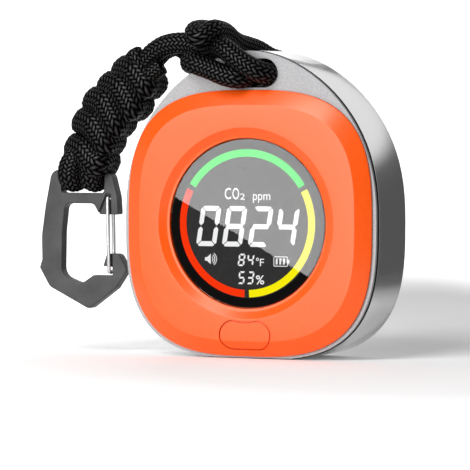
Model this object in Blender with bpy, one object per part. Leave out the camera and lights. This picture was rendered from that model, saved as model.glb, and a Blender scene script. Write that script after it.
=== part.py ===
"""Pocket carbon dioxide monitor with a cord lanyard and a wire-gate carabiner.

The case is a rounded arch, 67 mm wide and 75 mm high, that stands on a small flat. Its front
faces -Y, +X is the right side seen from the front, and the origin is under its centre. Sizes
here are in millimetres; every mesh and curve is turned into metres when it is made.
"""
from math import cos, pi, sin, tan

import bmesh
import bpy
from mathutils import Vector

MM = 0.001
GAP = 0.3            # clearance between neighbouring pieces

# Case
HALF_WIDTH = 33.35
WIDEST_Z = 33.0      # height at which the case is widest
HEIGHT = 74.6
DEPTH = 21.4         # over the face plate
PLATE_RISE = 2.6     # how far the face plate stands proud of the case
FRAME_THICK = 1.1
WALL = 1.8
SEAM = 0.2           # step at the edge of the front frame
RIM_ROUND = 0.5      # rounding of the back edge
RING = 96            # points round each large outline

FRONT = -DEPTH / 2
BACK = DEPTH / 2
CASE_FRONT = FRONT + PLATE_RISE
SHELL_FRONT = CASE_FRONT + FRAME_THICK + GAP
CAVITY_BACK = BACK - WALL
CAVITY_HALF = 31.3

# Hole for the lanyard, right through the top
HOLE_Z = 69.0
HOLE_HALF_WIDTH = 7.5
HOLE_RADIUS = 3.5

# Vents over the gas sensor
VENTS_EACH_SIDE = 2
VENT_PITCH = 2.4
VENT_HALF_LENGTH = 5.0
VENT_SHORTER = 0.9   # how much each vent is shorter than the one nearer the middle
VENT_HALF_WIDTH = 0.6

# Face plate, lens and display, all centred on one axis
FACE_Z = 32.75
PLATE_HALF = 32.2
FLAT_HALF = 28.5     # where the sloping border meets the flat face
SKIRT_HALF = 26.6
EDGE_RISE = 0.8      # upright part of the plate's outer edge
DISH_RADIUS = 23.1   # outer edge of the dished ring round the lens
LENS_RADIUS = 20.4
LENS_DEPTH = 1.3     # how deep the lens lies under the flat face
LENS_THICK = 1.2
SEAT_RADIUS = 18.9
BOSS_RADIUS = 2.0
PLATE_BACK = CASE_FRONT + FRAME_THICK + 0.1
PANEL_RADIUS = 20.5
PANEL_THICK = 1.4
LIGHT_THICK = 1.6
BOARD_HALF = 26.8
BOARD_THICK = 1.6
PANEL_FRONT = PLATE_BACK + GAP
LIGHT_FRONT = PANEL_FRONT + PANEL_THICK + GAP
BOARD_FRONT = LIGHT_FRONT + LIGHT_THICK + 3 * GAP
BOARD_BACK = BOARD_FRONT + BOARD_THICK

# Button
BUTTON_Z = 5.75
BUTTON_HALF_WIDTH = 6.5
BUTTON_HALF_HEIGHT = 3.25
BUTTON_DIP = 0.35    # how far the middle of the button's upper edge dips
BUTTON_TRAVEL = 0.6
FLANGE_SIDE = 1.3    # how far the flange reaches past the button at each end
FLANGE_THICK = 0.7
FLANGE_HEIGHTS = (4.0, 7.6)
STEM_RADIUS = 0.9
SWITCH_Z = 7.9
SWITCH_SIDE = 3.4
SWITCH_THICK = 1.6
SWITCH_STEM = 0.7
SWITCH_STEM_RADIUS = 0.8

# Screws
BOARD_SCREW_AT = 18.4
CASE_SCREW_AT = 23.2
SHANK_RADIUS = 0.9
HEAD_RADIUS = 1.9
HEAD_THICK = 1.0
POST_RADIUS = 2.1
CASE_SCREW_LENGTH = 7.0

# Inside, behind the board
SENSOR_Z = 46.0
SENSOR_RADIUS = 7.0
SENSOR_LENGTH = 6.5
SCREEN_THICK = 0.4
SEAL_RADII = (5.2, 6.6)
BATTERY = (34.0, 4.6, 22.0)
BATTERY_Z = 19.5
PAD_THICK = 0.7
PAD_HALF_WIDTH, PAD_HALF_HEIGHT = 12.0, 7.0

# Blocks on the board: low and high X, thickness, low and high Z, chamfer
CLIMATE_SENSOR = ((12.7, 15.3), 1.0, (46.7, 49.3), 0.1)
MICROCONTROLLER = ((-17.5, -10.5), 0.9, (33.5, 40.5), 0.15)
CONNECTOR = ((-3.0, 3.0), 2.4, (33.0, 37.0), 0.2)
BUZZER_X, BUZZER_Z = 15.0, 36.0
BUZZER = ((4.5, 0.0), (4.5, 2.7), (4.2, 3.0), (1.0, 3.0), (1.0, 2.4))   # radius and height

# Charging socket in the left wall
USB_Z = 33.0
USB_HALF_HEIGHT = 4.5
USB_HALF_DEPTH = 1.6
USB_SHEET = 0.35     # thickness of its metal, and half the tongue's thickness
USB_INNER_X = -25.3
USB_FLOOR_X = -27.0
USB_MOUTH = 0.5      # how far its mouth lies inside the wall
TONGUE_HALF = 3.3
TONGUE_BACK = 0.8    # how far the tongue lies inside the mouth

# Cord, weave and carabiner
CORD = 4.2           # cord diameter
LANYARD_Y = -3.0     # the plane in which the weave and the carabiner hang
SWING_X, SWING_Z = -31.3, 69.3
FRAME_HALF = 1.4     # half the carabiner's thickness
BAR_Z = 44.7         # centre of the bar that the loops go round
BAR_HALF_HEIGHT = 0.6
BAR_HALF_DEPTH = 0.8
LOOP_WIDE, LOOP_THICK = 4.6, 3.7
SLOT = (-53.0, -41.0, 39.6, 44.1)
WIRE = 1.0
PIVOT = (-40.0, 38.8)
CATCH = (-39.65, 20.05)
LEG_DEPTH = 1.5      # from the carabiner's middle plane to each leg of the gate
GATE_OPEN = 25 * pi / 180


def v(x, y, z):
    return Vector((x, y, z))


SWING = v(SWING_X, LANYARD_Y, SWING_Z)


def material(name, colour, roughness, metallic=0.0):
    found = bpy.data.materials.new(name)
    found.use_nodes = True
    shader = found.node_tree.nodes["Principled BSDF"]
    shader.inputs["Base Color"].default_value = (*colour, 1.0)
    shader.inputs["Roughness"].default_value = roughness
    shader.inputs["Metallic"].default_value = metallic
    return found


def add(name, bm, finish, smooth=True):
    """Turns a bmesh in millimetres into a named object in metres."""
    bmesh.ops.recalc_face_normals(bm, faces=bm.faces)
    bmesh.ops.scale(bm, vec=(MM, MM, MM), verts=bm.verts)
    mesh = bpy.data.meshes.new(name)
    for face in bm.faces:
        face.smooth = smooth
    bm.to_mesh(mesh)
    bm.free()
    made = bpy.data.objects.new(name, mesh)
    bpy.context.collection.objects.link(made)
    if finish:
        mesh.materials.append(finish)
    return made


def cut(target, cutter, operation="DIFFERENCE"):
    """Cuts cutter out of target, or joins it on, and hides the cutter."""
    change = target.modifiers.new(cutter.name, "BOOLEAN")
    change.operation = operation
    change.object = cutter
    cutter.hide_render = True
    cutter.display_type = "WIRE"


def join(target, other):
    cut(target, other, "UNION")


def set_origin(made, x, y, z):
    """Moves the object's origin to its joint's axis without moving its shape."""
    place = v(x, y, z) * MM
    for vertex in made.data.vertices:
        vertex.co -= place
    made.location = place


# ---- outlines, as rings of points at a given depth -------------------------------------------

def power(value, exponent):
    return abs(value) ** exponent * (1 if value >= 0 else -1)


def case_ring(y, inset=0.0):
    """The arch outline: squarish below, pointed a little at the top, cut flat at the base."""
    ring = []
    for i in range(RING):
        c, s = cos(2 * pi * i / RING), sin(2 * pi * i / RING)
        exponent = 3.0 if s < 0 else 2.3 - 0.42 * s
        reach = HALF_WIDTH if s < 0 else HEIGHT - WIDEST_Z
        x = (HALF_WIDTH - inset) * power(c, 2 / exponent)
        z = WIDEST_Z + (reach - inset) * power(s, 2 / exponent)
        ring.append(v(x, y, max(z, inset)))
    return ring


def squircle_ring(y, half, z=FACE_Z):
    ring = []
    for i in range(RING):
        c, s = cos(2 * pi * i / RING), sin(2 * pi * i / RING)
        ring.append(v(half * power(c, 2 / 3), y, z + half * power(s, 2 / 3)))
    return ring


def round_ring(y, radius, x=0.0, z=FACE_Z, count=RING):
    steps = [2 * pi * i / count for i in range(count)]
    return [v(x + radius * cos(a), y, z + radius * sin(a)) for a in steps]


def slot_ring(y, x, z, half_width, radius, count=12):
    """A slot with round ends, long along X."""
    ring = []
    for side in (1, -1):
        for i in range(count + 1):
            a = (i / count - 0.5) * pi
            ring.append(v(x + side * (half_width - radius + radius * cos(a)), y,
                          z + side * radius * sin(a)))
    return ring


def button_ring(y, grow=0.0):
    """The button's outline: a slot whose upper edge dips to follow the dished ring."""
    ring = slot_ring(y, 0, BUTTON_Z, BUTTON_HALF_WIDTH + grow, BUTTON_HALF_HEIGHT + grow, 10)
    straight = BUTTON_HALF_WIDTH - BUTTON_HALF_HEIGHT
    inner = [(-0.5, 1), (0, 1), (0.5, 1), (0.5, -1), (0, -1), (-0.5, -1)]
    dips = [v(a * straight, y, BUTTON_Z + s * (BUTTON_HALF_HEIGHT + grow)
              - (BUTTON_DIP * (1 - a * a) if s > 0 else 0)) for a, s in inner]
    half = len(ring) // 2
    return ring[:half] + dips[2::-1] + ring[half:] + dips[:2:-1]


# ---- solids ----------------------------------------------------------------------------------

def loft(rings, around=False):
    """Skins rings with equal counts: ends filled, or closed into a ring-shaped body."""
    bm = bmesh.new()
    loops = [[bm.verts.new(point) for point in ring] for ring in rings]
    pairs = list(zip(loops, loops[1:] + loops[:1] if around else loops[1:]))
    for a, b in pairs:
        for i in range(len(a)):
            j = (i + 1) % len(a)
            bm.faces.new((a[i], a[j], b[j], b[i]))
    if not around:
        bm.faces.new(loops[0])
        bm.faces.new(list(reversed(loops[-1])))
    return bm


def drum(x, z, y0, y1, radius, count=24):
    return loft([round_ring(y0, radius, x, z, count), round_ring(y1, radius, x, z, count)])


def block(x, y, z, chamfer=0.0):
    """A box from three (low, high) pairs, its edges cut back by chamfer."""
    bm = bmesh.new()
    bmesh.ops.create_cube(bm, size=1.0)
    size = [high - low for low, high in (x, y, z)]
    bmesh.ops.scale(bm, vec=size, verts=bm.verts)
    bmesh.ops.translate(bm, vec=[(low + high) / 2 for low, high in (x, y, z)], verts=bm.verts)
    if chamfer:
        bmesh.ops.bevel(bm, geom=list(bm.edges), offset=chamfer, segments=1, affect="EDGES")
    return bm


def smooth_path(points, steps):
    """A smooth curve through hand-placed points, as steps points between each two."""
    ends = [2 * points[0] - points[1]] + points + [2 * points[-1] - points[-2]]
    path = []
    for a, b, c, d in zip(ends, ends[1:], ends[2:], ends[3:]):
        for i in range(steps):
            t = i / steps
            path.append(0.5 * (2 * b + (c - a) * t + (2 * a - 5 * b + 4 * c - d) * t * t
                               + (3 * b - a - 3 * c + d) * t ** 3))
    return path + [points[-1]]


def tube(name, path, diameter, finish, origin, resolution=3):
    """A round cord or wire as a bevelled curve with filled ends, its origin on its joint."""
    curve = bpy.data.curves.new(name, "CURVE")
    curve.dimensions = "3D"
    curve.bevel_depth = diameter / 2 * MM
    curve.bevel_resolution = resolution
    curve.use_fill_caps = True
    spline = curve.splines.new("POLY")
    spline.points.add(len(path) - 1)
    for point, place in zip(spline.points, path):
        point.co = (*((place - origin) * MM), 1.0)
    curve.materials.append(finish)
    made = bpy.data.objects.new(name, curve)
    made.location = origin * MM
    bpy.context.collection.objects.link(made)
    return made


def sweep(path, across, half_side, half_across, count):
    """Rings of an oval section along a flat path; across is the direction it never turns to."""
    rings = []
    for i, point in enumerate(path):
        along = (path[min(i + 1, len(path) - 1)] - path[max(i - 1, 0)]).normalized()
        side = along.cross(across)
        wide, deep = half_side(i), half_across(i)
        turns = [2 * pi * k / count for k in range(count)]
        rings.append([point + side * (wide * cos(a)) + across * (deep * sin(a)) for a in turns])
    return loft(rings)


def rounded(corners, arc_steps=4):
    """An outline in X and Z from (x, z, corner radius), each round corner as an arc."""
    outline = []
    for i, (x, z, radius) in enumerate(corners):
        here = v(x, 0, z)
        if not radius:
            outline.append(here)
            continue
        last, following = corners[i - 1], corners[(i + 1) % len(corners)]
        before = (v(last[0], 0, last[1]) - here).normalized()
        after = (v(following[0], 0, following[1]) - here).normalized()
        half = before.angle(after) / 2
        start = here + before * (radius / tan(half))
        end = here + after * (radius / tan(half))
        centre = here + (before + after).normalized() * (radius / sin(half))
        for k in range(arc_steps + 1):
            spoke = (start - centre).slerp(end - centre, k / arc_steps)
            outline.append(centre + spoke.normalized() * radius)
    return outline


def prism(outline, y0, y1):
    return loft([[p + v(0, y0, 0) for p in outline], [p + v(0, y1, 0) for p in outline]])


# ---- case ------------------------------------------------------------------------------------

def corners(reach):
    return [(x * reach, z * reach) for z in (1, -1) for x in (1, -1)]


def make_rear_shell(silver):
    rings = [case_ring(SHELL_FRONT), case_ring(BACK - RIM_ROUND)]
    for i in range(1, 4):
        a = i / 3 * pi / 2
        rings.append(case_ring(BACK - RIM_ROUND * (1 - sin(a)), RIM_ROUND * (1 - cos(a))))
    shell = add("rear_shell", loft(rings), silver)
    cavity = [squircle_ring(y, CAVITY_HALF, WIDEST_Z) for y in (SHELL_FRONT - 1, CAVITY_BACK)]
    cut(shell, add("cut_cavity", loft(cavity), None))
    cut(shell, make_hole_cutter())
    cut(shell, add("cut_vents", vent_slots(), None))
    for i, (x, z) in enumerate(corners(CASE_SCREW_AT)):
        z += WIDEST_Z
        cut(shell, add(f"cut_head_{i}", drum(x, z, BACK - HEAD_THICK, BACK + 1,
                                             HEAD_RADIUS + GAP), None))
        cut(shell, add(f"cut_shank_{i}", drum(x, z, CAVITY_BACK - 1, BACK + 1,
                                              SHANK_RADIUS + GAP), None))
    port = [usb_ring(x, GAP) for x in (-HALF_WIDTH - 1, -CAVITY_HALF + 1)]
    cut(shell, add("cut_port", loft(port), None))
    return shell


def make_hole_cutter():
    rings = [slot_ring(y, 0, HOLE_Z, HOLE_HALF_WIDTH, HOLE_RADIUS) for y in (FRONT, BACK + 1)]
    return add("cut_lanyard_hole", loft(rings), None)


def vent_slots():
    """Five upright slots over the gas sensor, the middle one longest."""
    slots = bmesh.new()
    for i in range(-VENTS_EACH_SIDE, VENTS_EACH_SIDE + 1):
        reach = VENT_HALF_LENGTH - VENT_SHORTER * abs(i)
        x = VENT_PITCH * i
        flat = slot_ring(0, 0, 0, reach, VENT_HALF_WIDTH, 4)
        ring = [v(x + p.z, p.y, SENSOR_Z + p.x) for p in flat]
        one = loft([[p + v(0, y, 0) for p in ring] for y in (CAVITY_BACK - 0.5, BACK + 1)])
        mesh = bpy.data.meshes.new("slot")
        one.to_mesh(mesh)
        slots.from_mesh(mesh)
        bpy.data.meshes.remove(mesh)
        one.free()
    return slots


def make_front_frame(silver):
    """The flat silver front with the four posts that the case screws go into."""
    y0, y1 = CASE_FRONT, CASE_FRONT + FRAME_THICK
    frame = add("front_frame", loft([case_ring(y0, SEAM), case_ring(y1, SEAM)]), silver)
    for i, (x, z) in enumerate(corners(CASE_SCREW_AT)):
        z += WIDEST_Z
        join(frame, add(f"post_{i}", drum(x, z, y0 + 0.5, CAVITY_BACK - GAP,
                                            POST_RADIUS, 16), None))
    opening = [squircle_ring(y, SKIRT_HALF + GAP) for y in (y0 - 1, y1 + 1)]
    cut(frame, add("cut_opening", loft(opening), None))
    notch = [button_ring(y, GAP) for y in (y0 - 1, y1 + 1)]
    cut(frame, add("cut_button_notch", loft(notch), None))
    cut(frame, make_hole_cutter())
    for i, (x, z) in enumerate(corners(CASE_SCREW_AT)):
        z += WIDEST_Z
        cut(frame, add(f"cut_pilot_{i}", drum(x, z, y1 + 4, BACK, SHANK_RADIUS + GAP, 12), None))
    return frame


def plate_surface_rings():
    """The outside of the face plate without its dish: rim, slope and flat."""
    return [squircle_ring(CASE_FRONT - GAP, PLATE_HALF),
            squircle_ring(CASE_FRONT - EDGE_RISE, PLATE_HALF), squircle_ring(FRONT, FLAT_HALF)]


def make_face_plate(orange):
    """The orange plate with its dish, lens seat, skirt and four posts for the board screws."""
    lens_y = FRONT + LENS_DEPTH
    rings = [round_ring(PLATE_BACK, SEAT_RADIUS)]
    rings += [squircle_ring(PLATE_BACK, SKIRT_HALF), squircle_ring(CASE_FRONT - GAP, SKIRT_HALF)]
    rings += plate_surface_rings()
    rings += [round_ring(FRONT, DISH_RADIUS), round_ring(lens_y - 0.1, LENS_RADIUS + GAP)]
    seat_y = lens_y + LENS_THICK + GAP
    rings += [round_ring(seat_y, LENS_RADIUS + GAP), round_ring(seat_y, SEAT_RADIUS)]
    plate = add("face_plate", loft(rings, around=True), orange)
    for i, (x, z) in enumerate(corners(BOARD_SCREW_AT)):
        z += FACE_Z
        join(plate, add(f"boss_{i}", drum(x, z, PLATE_BACK - 0.5, BOARD_FRONT - GAP,
                                            BOSS_RADIUS, 16), None))
        cut(plate, add(f"cut_boss_{i}", drum(x, z, PLATE_BACK - 0.5, BOARD_BACK,
                                             SHANK_RADIUS + GAP, 12), None))
    hole = [button_ring(y, GAP) for y in (FRONT - 1, PLATE_BACK + 1)]
    cut(plate, add("cut_button", loft(hole), None))
    return plate


def make_button(orange):
    """The button: a cap that follows the plate's flat and slope, a flange and a stem."""
    cap = add("button_cap", loft(plate_surface_rings()), orange)
    column = loft([button_ring(FRONT - 1), button_ring(CASE_FRONT - GAP - 0.01)])
    cut(cap, add("column", column, None), "INTERSECT")
    core = loft([button_ring(CASE_FRONT - 0.5), button_ring(PLATE_BACK + GAP + 0.1)])
    join(cap, add("core", core, None))
    flange_y = PLATE_BACK + GAP
    reach = BUTTON_HALF_WIDTH + FLANGE_SIDE
    flange = block((-reach, reach), (flange_y, flange_y + FLANGE_THICK), FLANGE_HEIGHTS, 0.15)
    join(cap, add("flange", flange, None))
    stem_end = BOARD_FRONT - GAP - SWITCH_THICK - SWITCH_STEM - GAP - BUTTON_TRAVEL
    stem = drum(0, SWITCH_Z, flange_y + GAP, stem_end, STEM_RADIUS, 12)
    join(cap, add("stem", stem, None))
    set_origin(cap, 0, CASE_FRONT, BUTTON_Z)
    return cap


# ---- display ---------------------------------------------------------------------------------

def make_lens(glass):
    y = FRONT + LENS_DEPTH
    rings = [round_ring(y, LENS_RADIUS - 0.15), round_ring(y + 0.15, LENS_RADIUS)]
    return add("lens_window", loft(rings + [round_ring(y + LENS_THICK, LENS_RADIUS)]), glass)


def make_display(dark, white, black):
    add("display_panel", drum(0, FACE_Z, PANEL_FRONT, PANEL_FRONT + PANEL_THICK,
                              PANEL_RADIUS, 64), dark)
    add("backlight", drum(0, FACE_Z, LIGHT_FRONT, LIGHT_FRONT + LIGHT_THICK,
                          PANEL_RADIUS, 64), white)
    inner, outer = PANEL_RADIUS + GAP, PANEL_RADIUS + 1.8
    y0, y1 = PANEL_FRONT, BOARD_FRONT - GAP
    rings = [round_ring(y, r, count=64) for r, y in
             ((inner, y0), (outer, y0), (outer, y1), (PANEL_RADIUS - 1, y1),
              (PANEL_RADIUS - 1, LIGHT_FRONT + LIGHT_THICK + GAP),
              (inner, LIGHT_FRONT + LIGHT_THICK + GAP))]
    add("display_frame", loft(rings, around=True), black)


# ---- electronics -----------------------------------------------------------------------------

def make_board(green):
    rings = [squircle_ring(y, BOARD_HALF) for y in (BOARD_FRONT, BOARD_BACK)]
    board = add("main_board", loft(rings), green)
    for i, (x, z) in enumerate(corners(BOARD_SCREW_AT)):
        hole = drum(x, z + FACE_Z, BOARD_FRONT - 1, BOARD_BACK + 1, SHANK_RADIUS + GAP, 12)
        cut(board, add(f"cut_board_{i}", hole, None))
    return board


def make_screws(name, steel, reach, centre_z, head_y, tip_y):
    """Four pan-head screws that share one mesh, their heads towards the back."""
    profile = [(0.0, head_y), (HEAD_RADIUS - 0.3, head_y), (HEAD_RADIUS, head_y - 0.3),
               (HEAD_RADIUS, head_y - HEAD_THICK + GAP), (SHANK_RADIUS, head_y - HEAD_THICK + GAP),
               (SHANK_RADIUS, tip_y + 0.4), (SHANK_RADIUS - 0.4, tip_y)]
    rings = [round_ring(y, r, 0, 0, 16) for r, y in profile[1:]]
    shared = add(f"{name}_1", loft(rings), steel)
    for i, (x, z) in enumerate(corners(reach)):
        screw = shared
        if i:
            screw = bpy.data.objects.new(f"{name}_{i + 1}", shared.data)
            bpy.context.collection.objects.link(screw)
        screw.location = v(x, 0, z + centre_z) * MM


def usb_ring(x, grow):
    """The socket's round-ended mouth, upright, in the left wall."""
    flat = slot_ring(0, 0, 0, USB_HALF_HEIGHT + grow, USB_HALF_DEPTH + grow, 6)
    return [v(x, BOARD_BACK + GAP + USB_HALF_DEPTH + p.z, USB_Z + p.x) for p in flat]


def make_switch(steel):
    face = BOARD_FRONT - GAP
    half = SWITCH_SIDE / 2
    body = block((-half, half), (face - SWITCH_THICK, face), (SWITCH_Z - half, SWITCH_Z + half), 0.2)
    switch = add("tactile_switch", body, steel)
    stem = drum(0, SWITCH_Z, face - SWITCH_THICK - SWITCH_STEM, face - GAP, SWITCH_STEM_RADIUS, 12)
    join(switch, add("switch_stem", stem, None))


def make_sensor(silver_can, mesh, foam):
    """The gas sensor, and the foam seal and dust screen between it and the vents."""
    y = BOARD_BACK + GAP
    can_back = y + SENSOR_LENGTH
    can = loft([round_ring(y, SENSOR_RADIUS, 0, SENSOR_Z, 32),
                round_ring(can_back - 0.5, SENSOR_RADIUS, 0, SENSOR_Z, 32),
                round_ring(can_back, SENSOR_RADIUS - 0.5, 0, SENSOR_Z, 32)])
    add("co2_sensor", can, silver_can)
    screen_back = CAVITY_BACK - GAP
    screen_front = screen_back - SCREEN_THICK
    add("dust_screen", drum(0, SENSOR_Z, screen_front, screen_back, SENSOR_RADIUS + 1, 32), mesh)
    inner, outer = SEAL_RADII
    y0, y1 = can_back + GAP, screen_front - GAP
    seal = [round_ring(a, r, 0, SENSOR_Z, 32) for r, a in
            ((inner, y0), (outer, y0), (outer, y1), (inner, y1))]
    add("sensor_seal", loft(seal, around=True), foam)


def make_electronics(black, chip, foam, silver_can, white):
    y = BOARD_BACK + GAP
    for name, (x, thick, z, chamfer), finish in (
            ("climate_sensor", CLIMATE_SENSOR, black), ("microcontroller", MICROCONTROLLER, chip),
            ("battery_connector", CONNECTOR, white)):
        add(name, block(x, (y, y + thick), z, chamfer), finish)
    buzzer = [round_ring(y + rise, radius, BUZZER_X, BUZZER_Z, 24) for radius, rise in BUZZER]
    add("buzzer", loft(buzzer), black)
    wide, thick, high = BATTERY
    battery_back = CAVITY_BACK - PAD_THICK - 2 * GAP
    add("battery_cell", block((-wide / 2, wide / 2), (battery_back - thick, battery_back),
                              (BATTERY_Z - high / 2, BATTERY_Z + high / 2), 0.9), silver_can)
    add("battery_pad", block((-PAD_HALF_WIDTH, PAD_HALF_WIDTH),
                             (battery_back + GAP, CAVITY_BACK - GAP),
                             (BATTERY_Z - PAD_HALF_HEIGHT, BATTERY_Z + PAD_HALF_HEIGHT)), foam)


def make_socket(steel):
    mouth_x = -HALF_WIDTH + USB_MOUTH
    socket = add("usb_socket", loft([usb_ring(x, 0) for x in (mouth_x, USB_INNER_X)]), steel)
    mouth = [usb_ring(x, -USB_SHEET) for x in (-HALF_WIDTH - 1, USB_FLOOR_X)]
    cut(socket, add("cut_mouth", loft(mouth), None))
    middle_y = BOARD_BACK + GAP + USB_HALF_DEPTH
    tongue = block((mouth_x + TONGUE_BACK, USB_FLOOR_X + 0.5),
                   (middle_y - USB_SHEET, middle_y + USB_SHEET),
                   (USB_Z - TONGUE_HALF, USB_Z + TONGUE_HALF))
    join(socket, add("tongue", tongue, None))


# ---- lanyard ---------------------------------------------------------------------------------

# The cord's way from the weave, over the top and in front, through the hole, round the back,
# in a bight over itself, back through the hole and along the front to the weave again.
CORD_ROUTE = [
    (-27.6, -5.2, 73.6), (-26.2, -5.4, 74.6), (-23.6, -5.6, 75.9), (-20.0, -5.6, 76.5),
    (-16.5, -5.4, 76.1), (-13.2, -5.7, 74.7), (-10.0, -6.8, 74.9), (-7.4, -8.9, 75.3),
    (-4.7, -10.8, 74.5), (-2.0, -11.6, 72.7), (1.0, -11.5, 70.8), (3.5, -10.6, 69.4),
    (4.9, -8.4, 68.9), (5.0, -5.0, 68.9), (5.0, 2.0, 69.0), (5.0, 8.5, 69.0),
    (4.4, 12.2, 69.6), (2.2, 14.0, 70.8), (-1.2, 14.2, 72.1), (-4.4, 14.0, 73.2),
    (-7.0, 12.8, 74.9), (-8.6, 10.0, 75.8), (-9.4, 6.5, 76.4), (-9.5, 2.5, 77.4),
    (-9.2, -1.5, 78.7), (-9.1, -5.5, 79.3), (-9.3, -9.3, 79.3), (-11.4, -11.9, 77.5),
    (-13.6, -9.7, 79.0), (-13.5, -6.0, 79.5), (-13.7, -1.0, 79.2), (-14.1, 3.5, 77.7),
    (-14.0, 8.0, 75.8), (-13.0, 11.6, 74.0), (-10.9, 13.7, 71.6), (-8.0, 14.1, 69.4),
    (-4.9, 13.9, 67.5), (-2.0, 13.0, 67.4), (0.1, 9.2, 68.5), (0.2, 3.0, 69.0),
    (0.2, -3.0, 68.8), (-0.2, -7.2, 68.3), (-2.0, -10.3, 67.8), (-5.2, -11.2, 68.5),
    (-9.0, -11.2, 70.0), (-12.6, -10.9, 71.2), (-14.9, -9.2, 71.9), (-16.0, -7.0, 71.5),
    (-17.3, -3.6, 72.0), (-18.9, -1.4, 73.4), (-20.7, -0.4, 75.0), (-23.4, -0.3, 76.0),
    (-26.2, -0.6, 75.0), (-27.6, -0.8, 73.8),
]

# The middle of the weave in X and Z, from its round top down to where the loops leave it.
WEAVE_ROUTE = [(-31.3, 69.3), (-34.8, 65.4), (-39.0, 61.0), (-42.2, 55.6), (-45.0, 52.2),
               (-46.8, 49.6), (-47.0, 48.4), (-47.0, 47.3)]
WEAVE_HALF = 6.3
WEAVE_HALF_THICK = 4.5
DOME = 5.6


def make_cord(black):
    return tube("lanyard_cord", [v(*p) for p in CORD_ROUTE], CORD, black, SWING)


def make_weave(black):
    """The woven strap as one plain oval bar, domed about the axis that it swings on."""
    middle = smooth_path([v(x, LANYARD_Y, z) for x, z in WEAVE_ROUTE], 3)
    along = (middle[0] - middle[1]).normalized()
    steps = [80, 60, 40, 20]
    dome = [middle[0] + along * (DOME * sin(a * pi / 180)) for a in steps]
    share = [cos(a * pi / 180) for a in steps]
    path = dome + middle
    last = len(path) - 1

    def fraction(i):
        return share[i] if i < len(dome) else 1.0

    def half_side(i):
        grown = min(1.0, max(0, i - len(dome)) / 4)
        narrowed = 1.0 - 0.28 * max(0, i - last + 4) / 4
        return (DOME + (WEAVE_HALF - DOME) * grown) * fraction(i) * narrowed

    def half_across(i):
        return WEAVE_HALF_THICK * fraction(i)

    weave = add("lanyard_weave", sweep(path, v(0, 1, 0), half_side, half_across, 20), black)
    set_origin(weave, *SWING)
    return weave


def make_loops(black):
    """Two flattened turns of cord, side by side, that hold the carabiner's bar."""
    reach = BAR_HALF_HEIGHT + GAP + 0.2 + LOOP_THICK / 2
    top = WEAVE_ROUTE[-1][1] - 1.5 * GAP
    pitch = LOOP_WIDE + GAP
    for i, side in enumerate((-0.5, 0.5)):
        x = (SLOT[0] + SLOT[1]) / 2 + side * pitch
        path = [v(x, LANYARD_Y - reach, top), v(x, LANYARD_Y - reach, (top + BAR_Z) / 2)]
        path += [v(x, LANYARD_Y - reach * cos(k * pi / 10), BAR_Z - reach * sin(k * pi / 10))
                 for k in range(11)]
        path += [v(x, LANYARD_Y + reach, (top + BAR_Z) / 2), v(x, LANYARD_Y + reach, top)]
        loop = sweep(path, v(1, 0, 0), lambda k: LOOP_THICK / 2, lambda k: LOOP_WIDE / 2, 12)
        set_origin(add(f"lanyard_loop_{i + 1}", loop, black), *SWING)


# ---- carabiner -------------------------------------------------------------------------------

# Corners of the frame in X and Z with their radii: down the left, round the hook, up to its
# beak, along the inside, round the ear that holds the gate, and back over the top.
FRAME_OUTLINE = [
    (-55.6, 45.4, 2.2), (-57.4, 36.5, 9.0), (-58.5, 29.0, 9.0), (-58.4, 22.9, 0.6),
    (-59.1, 20.9, 0.6), (-56.3, 16.2, 2.0), (-45.2, 10.7, 1.6), (-37.9, 16.0, 1.2),
    (-34.7, 20.6, 1.6), (-37.0, 24.7, 1.6), (-40.6, 24.6, 1.2), (-41.6, 21.5, 0.2),
    (-38.9, 21.3, 0.35), (-38.75, 19.2, 0.6), (-44.1, 19.2, 0.6), (-47.4, 17.0, 2.4),
    (-52.9, 19.0, 3.0), (-52.7, 30.0, 0.0), (-51.9, 37.0, 1.6), (-44.0, 37.0, 1.4),
    (-42.4, 34.3, 0.3), (-37.1, 34.3, 0.5), (-37.4, 38.8, 6.0), (-38.9, 44.5, 1.4),
]
FRAME_TOP = 45.5
EDGE = 0.45          # chamfer round the frame
EAR_FOOT_Z = 33.0    # just under the ear that holds the gate
NOSE_X = (-43.0, -38.65)   # room for the gate's legs beside the hook's nose
NOSE_Z = (19.4, 26.0)


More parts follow.
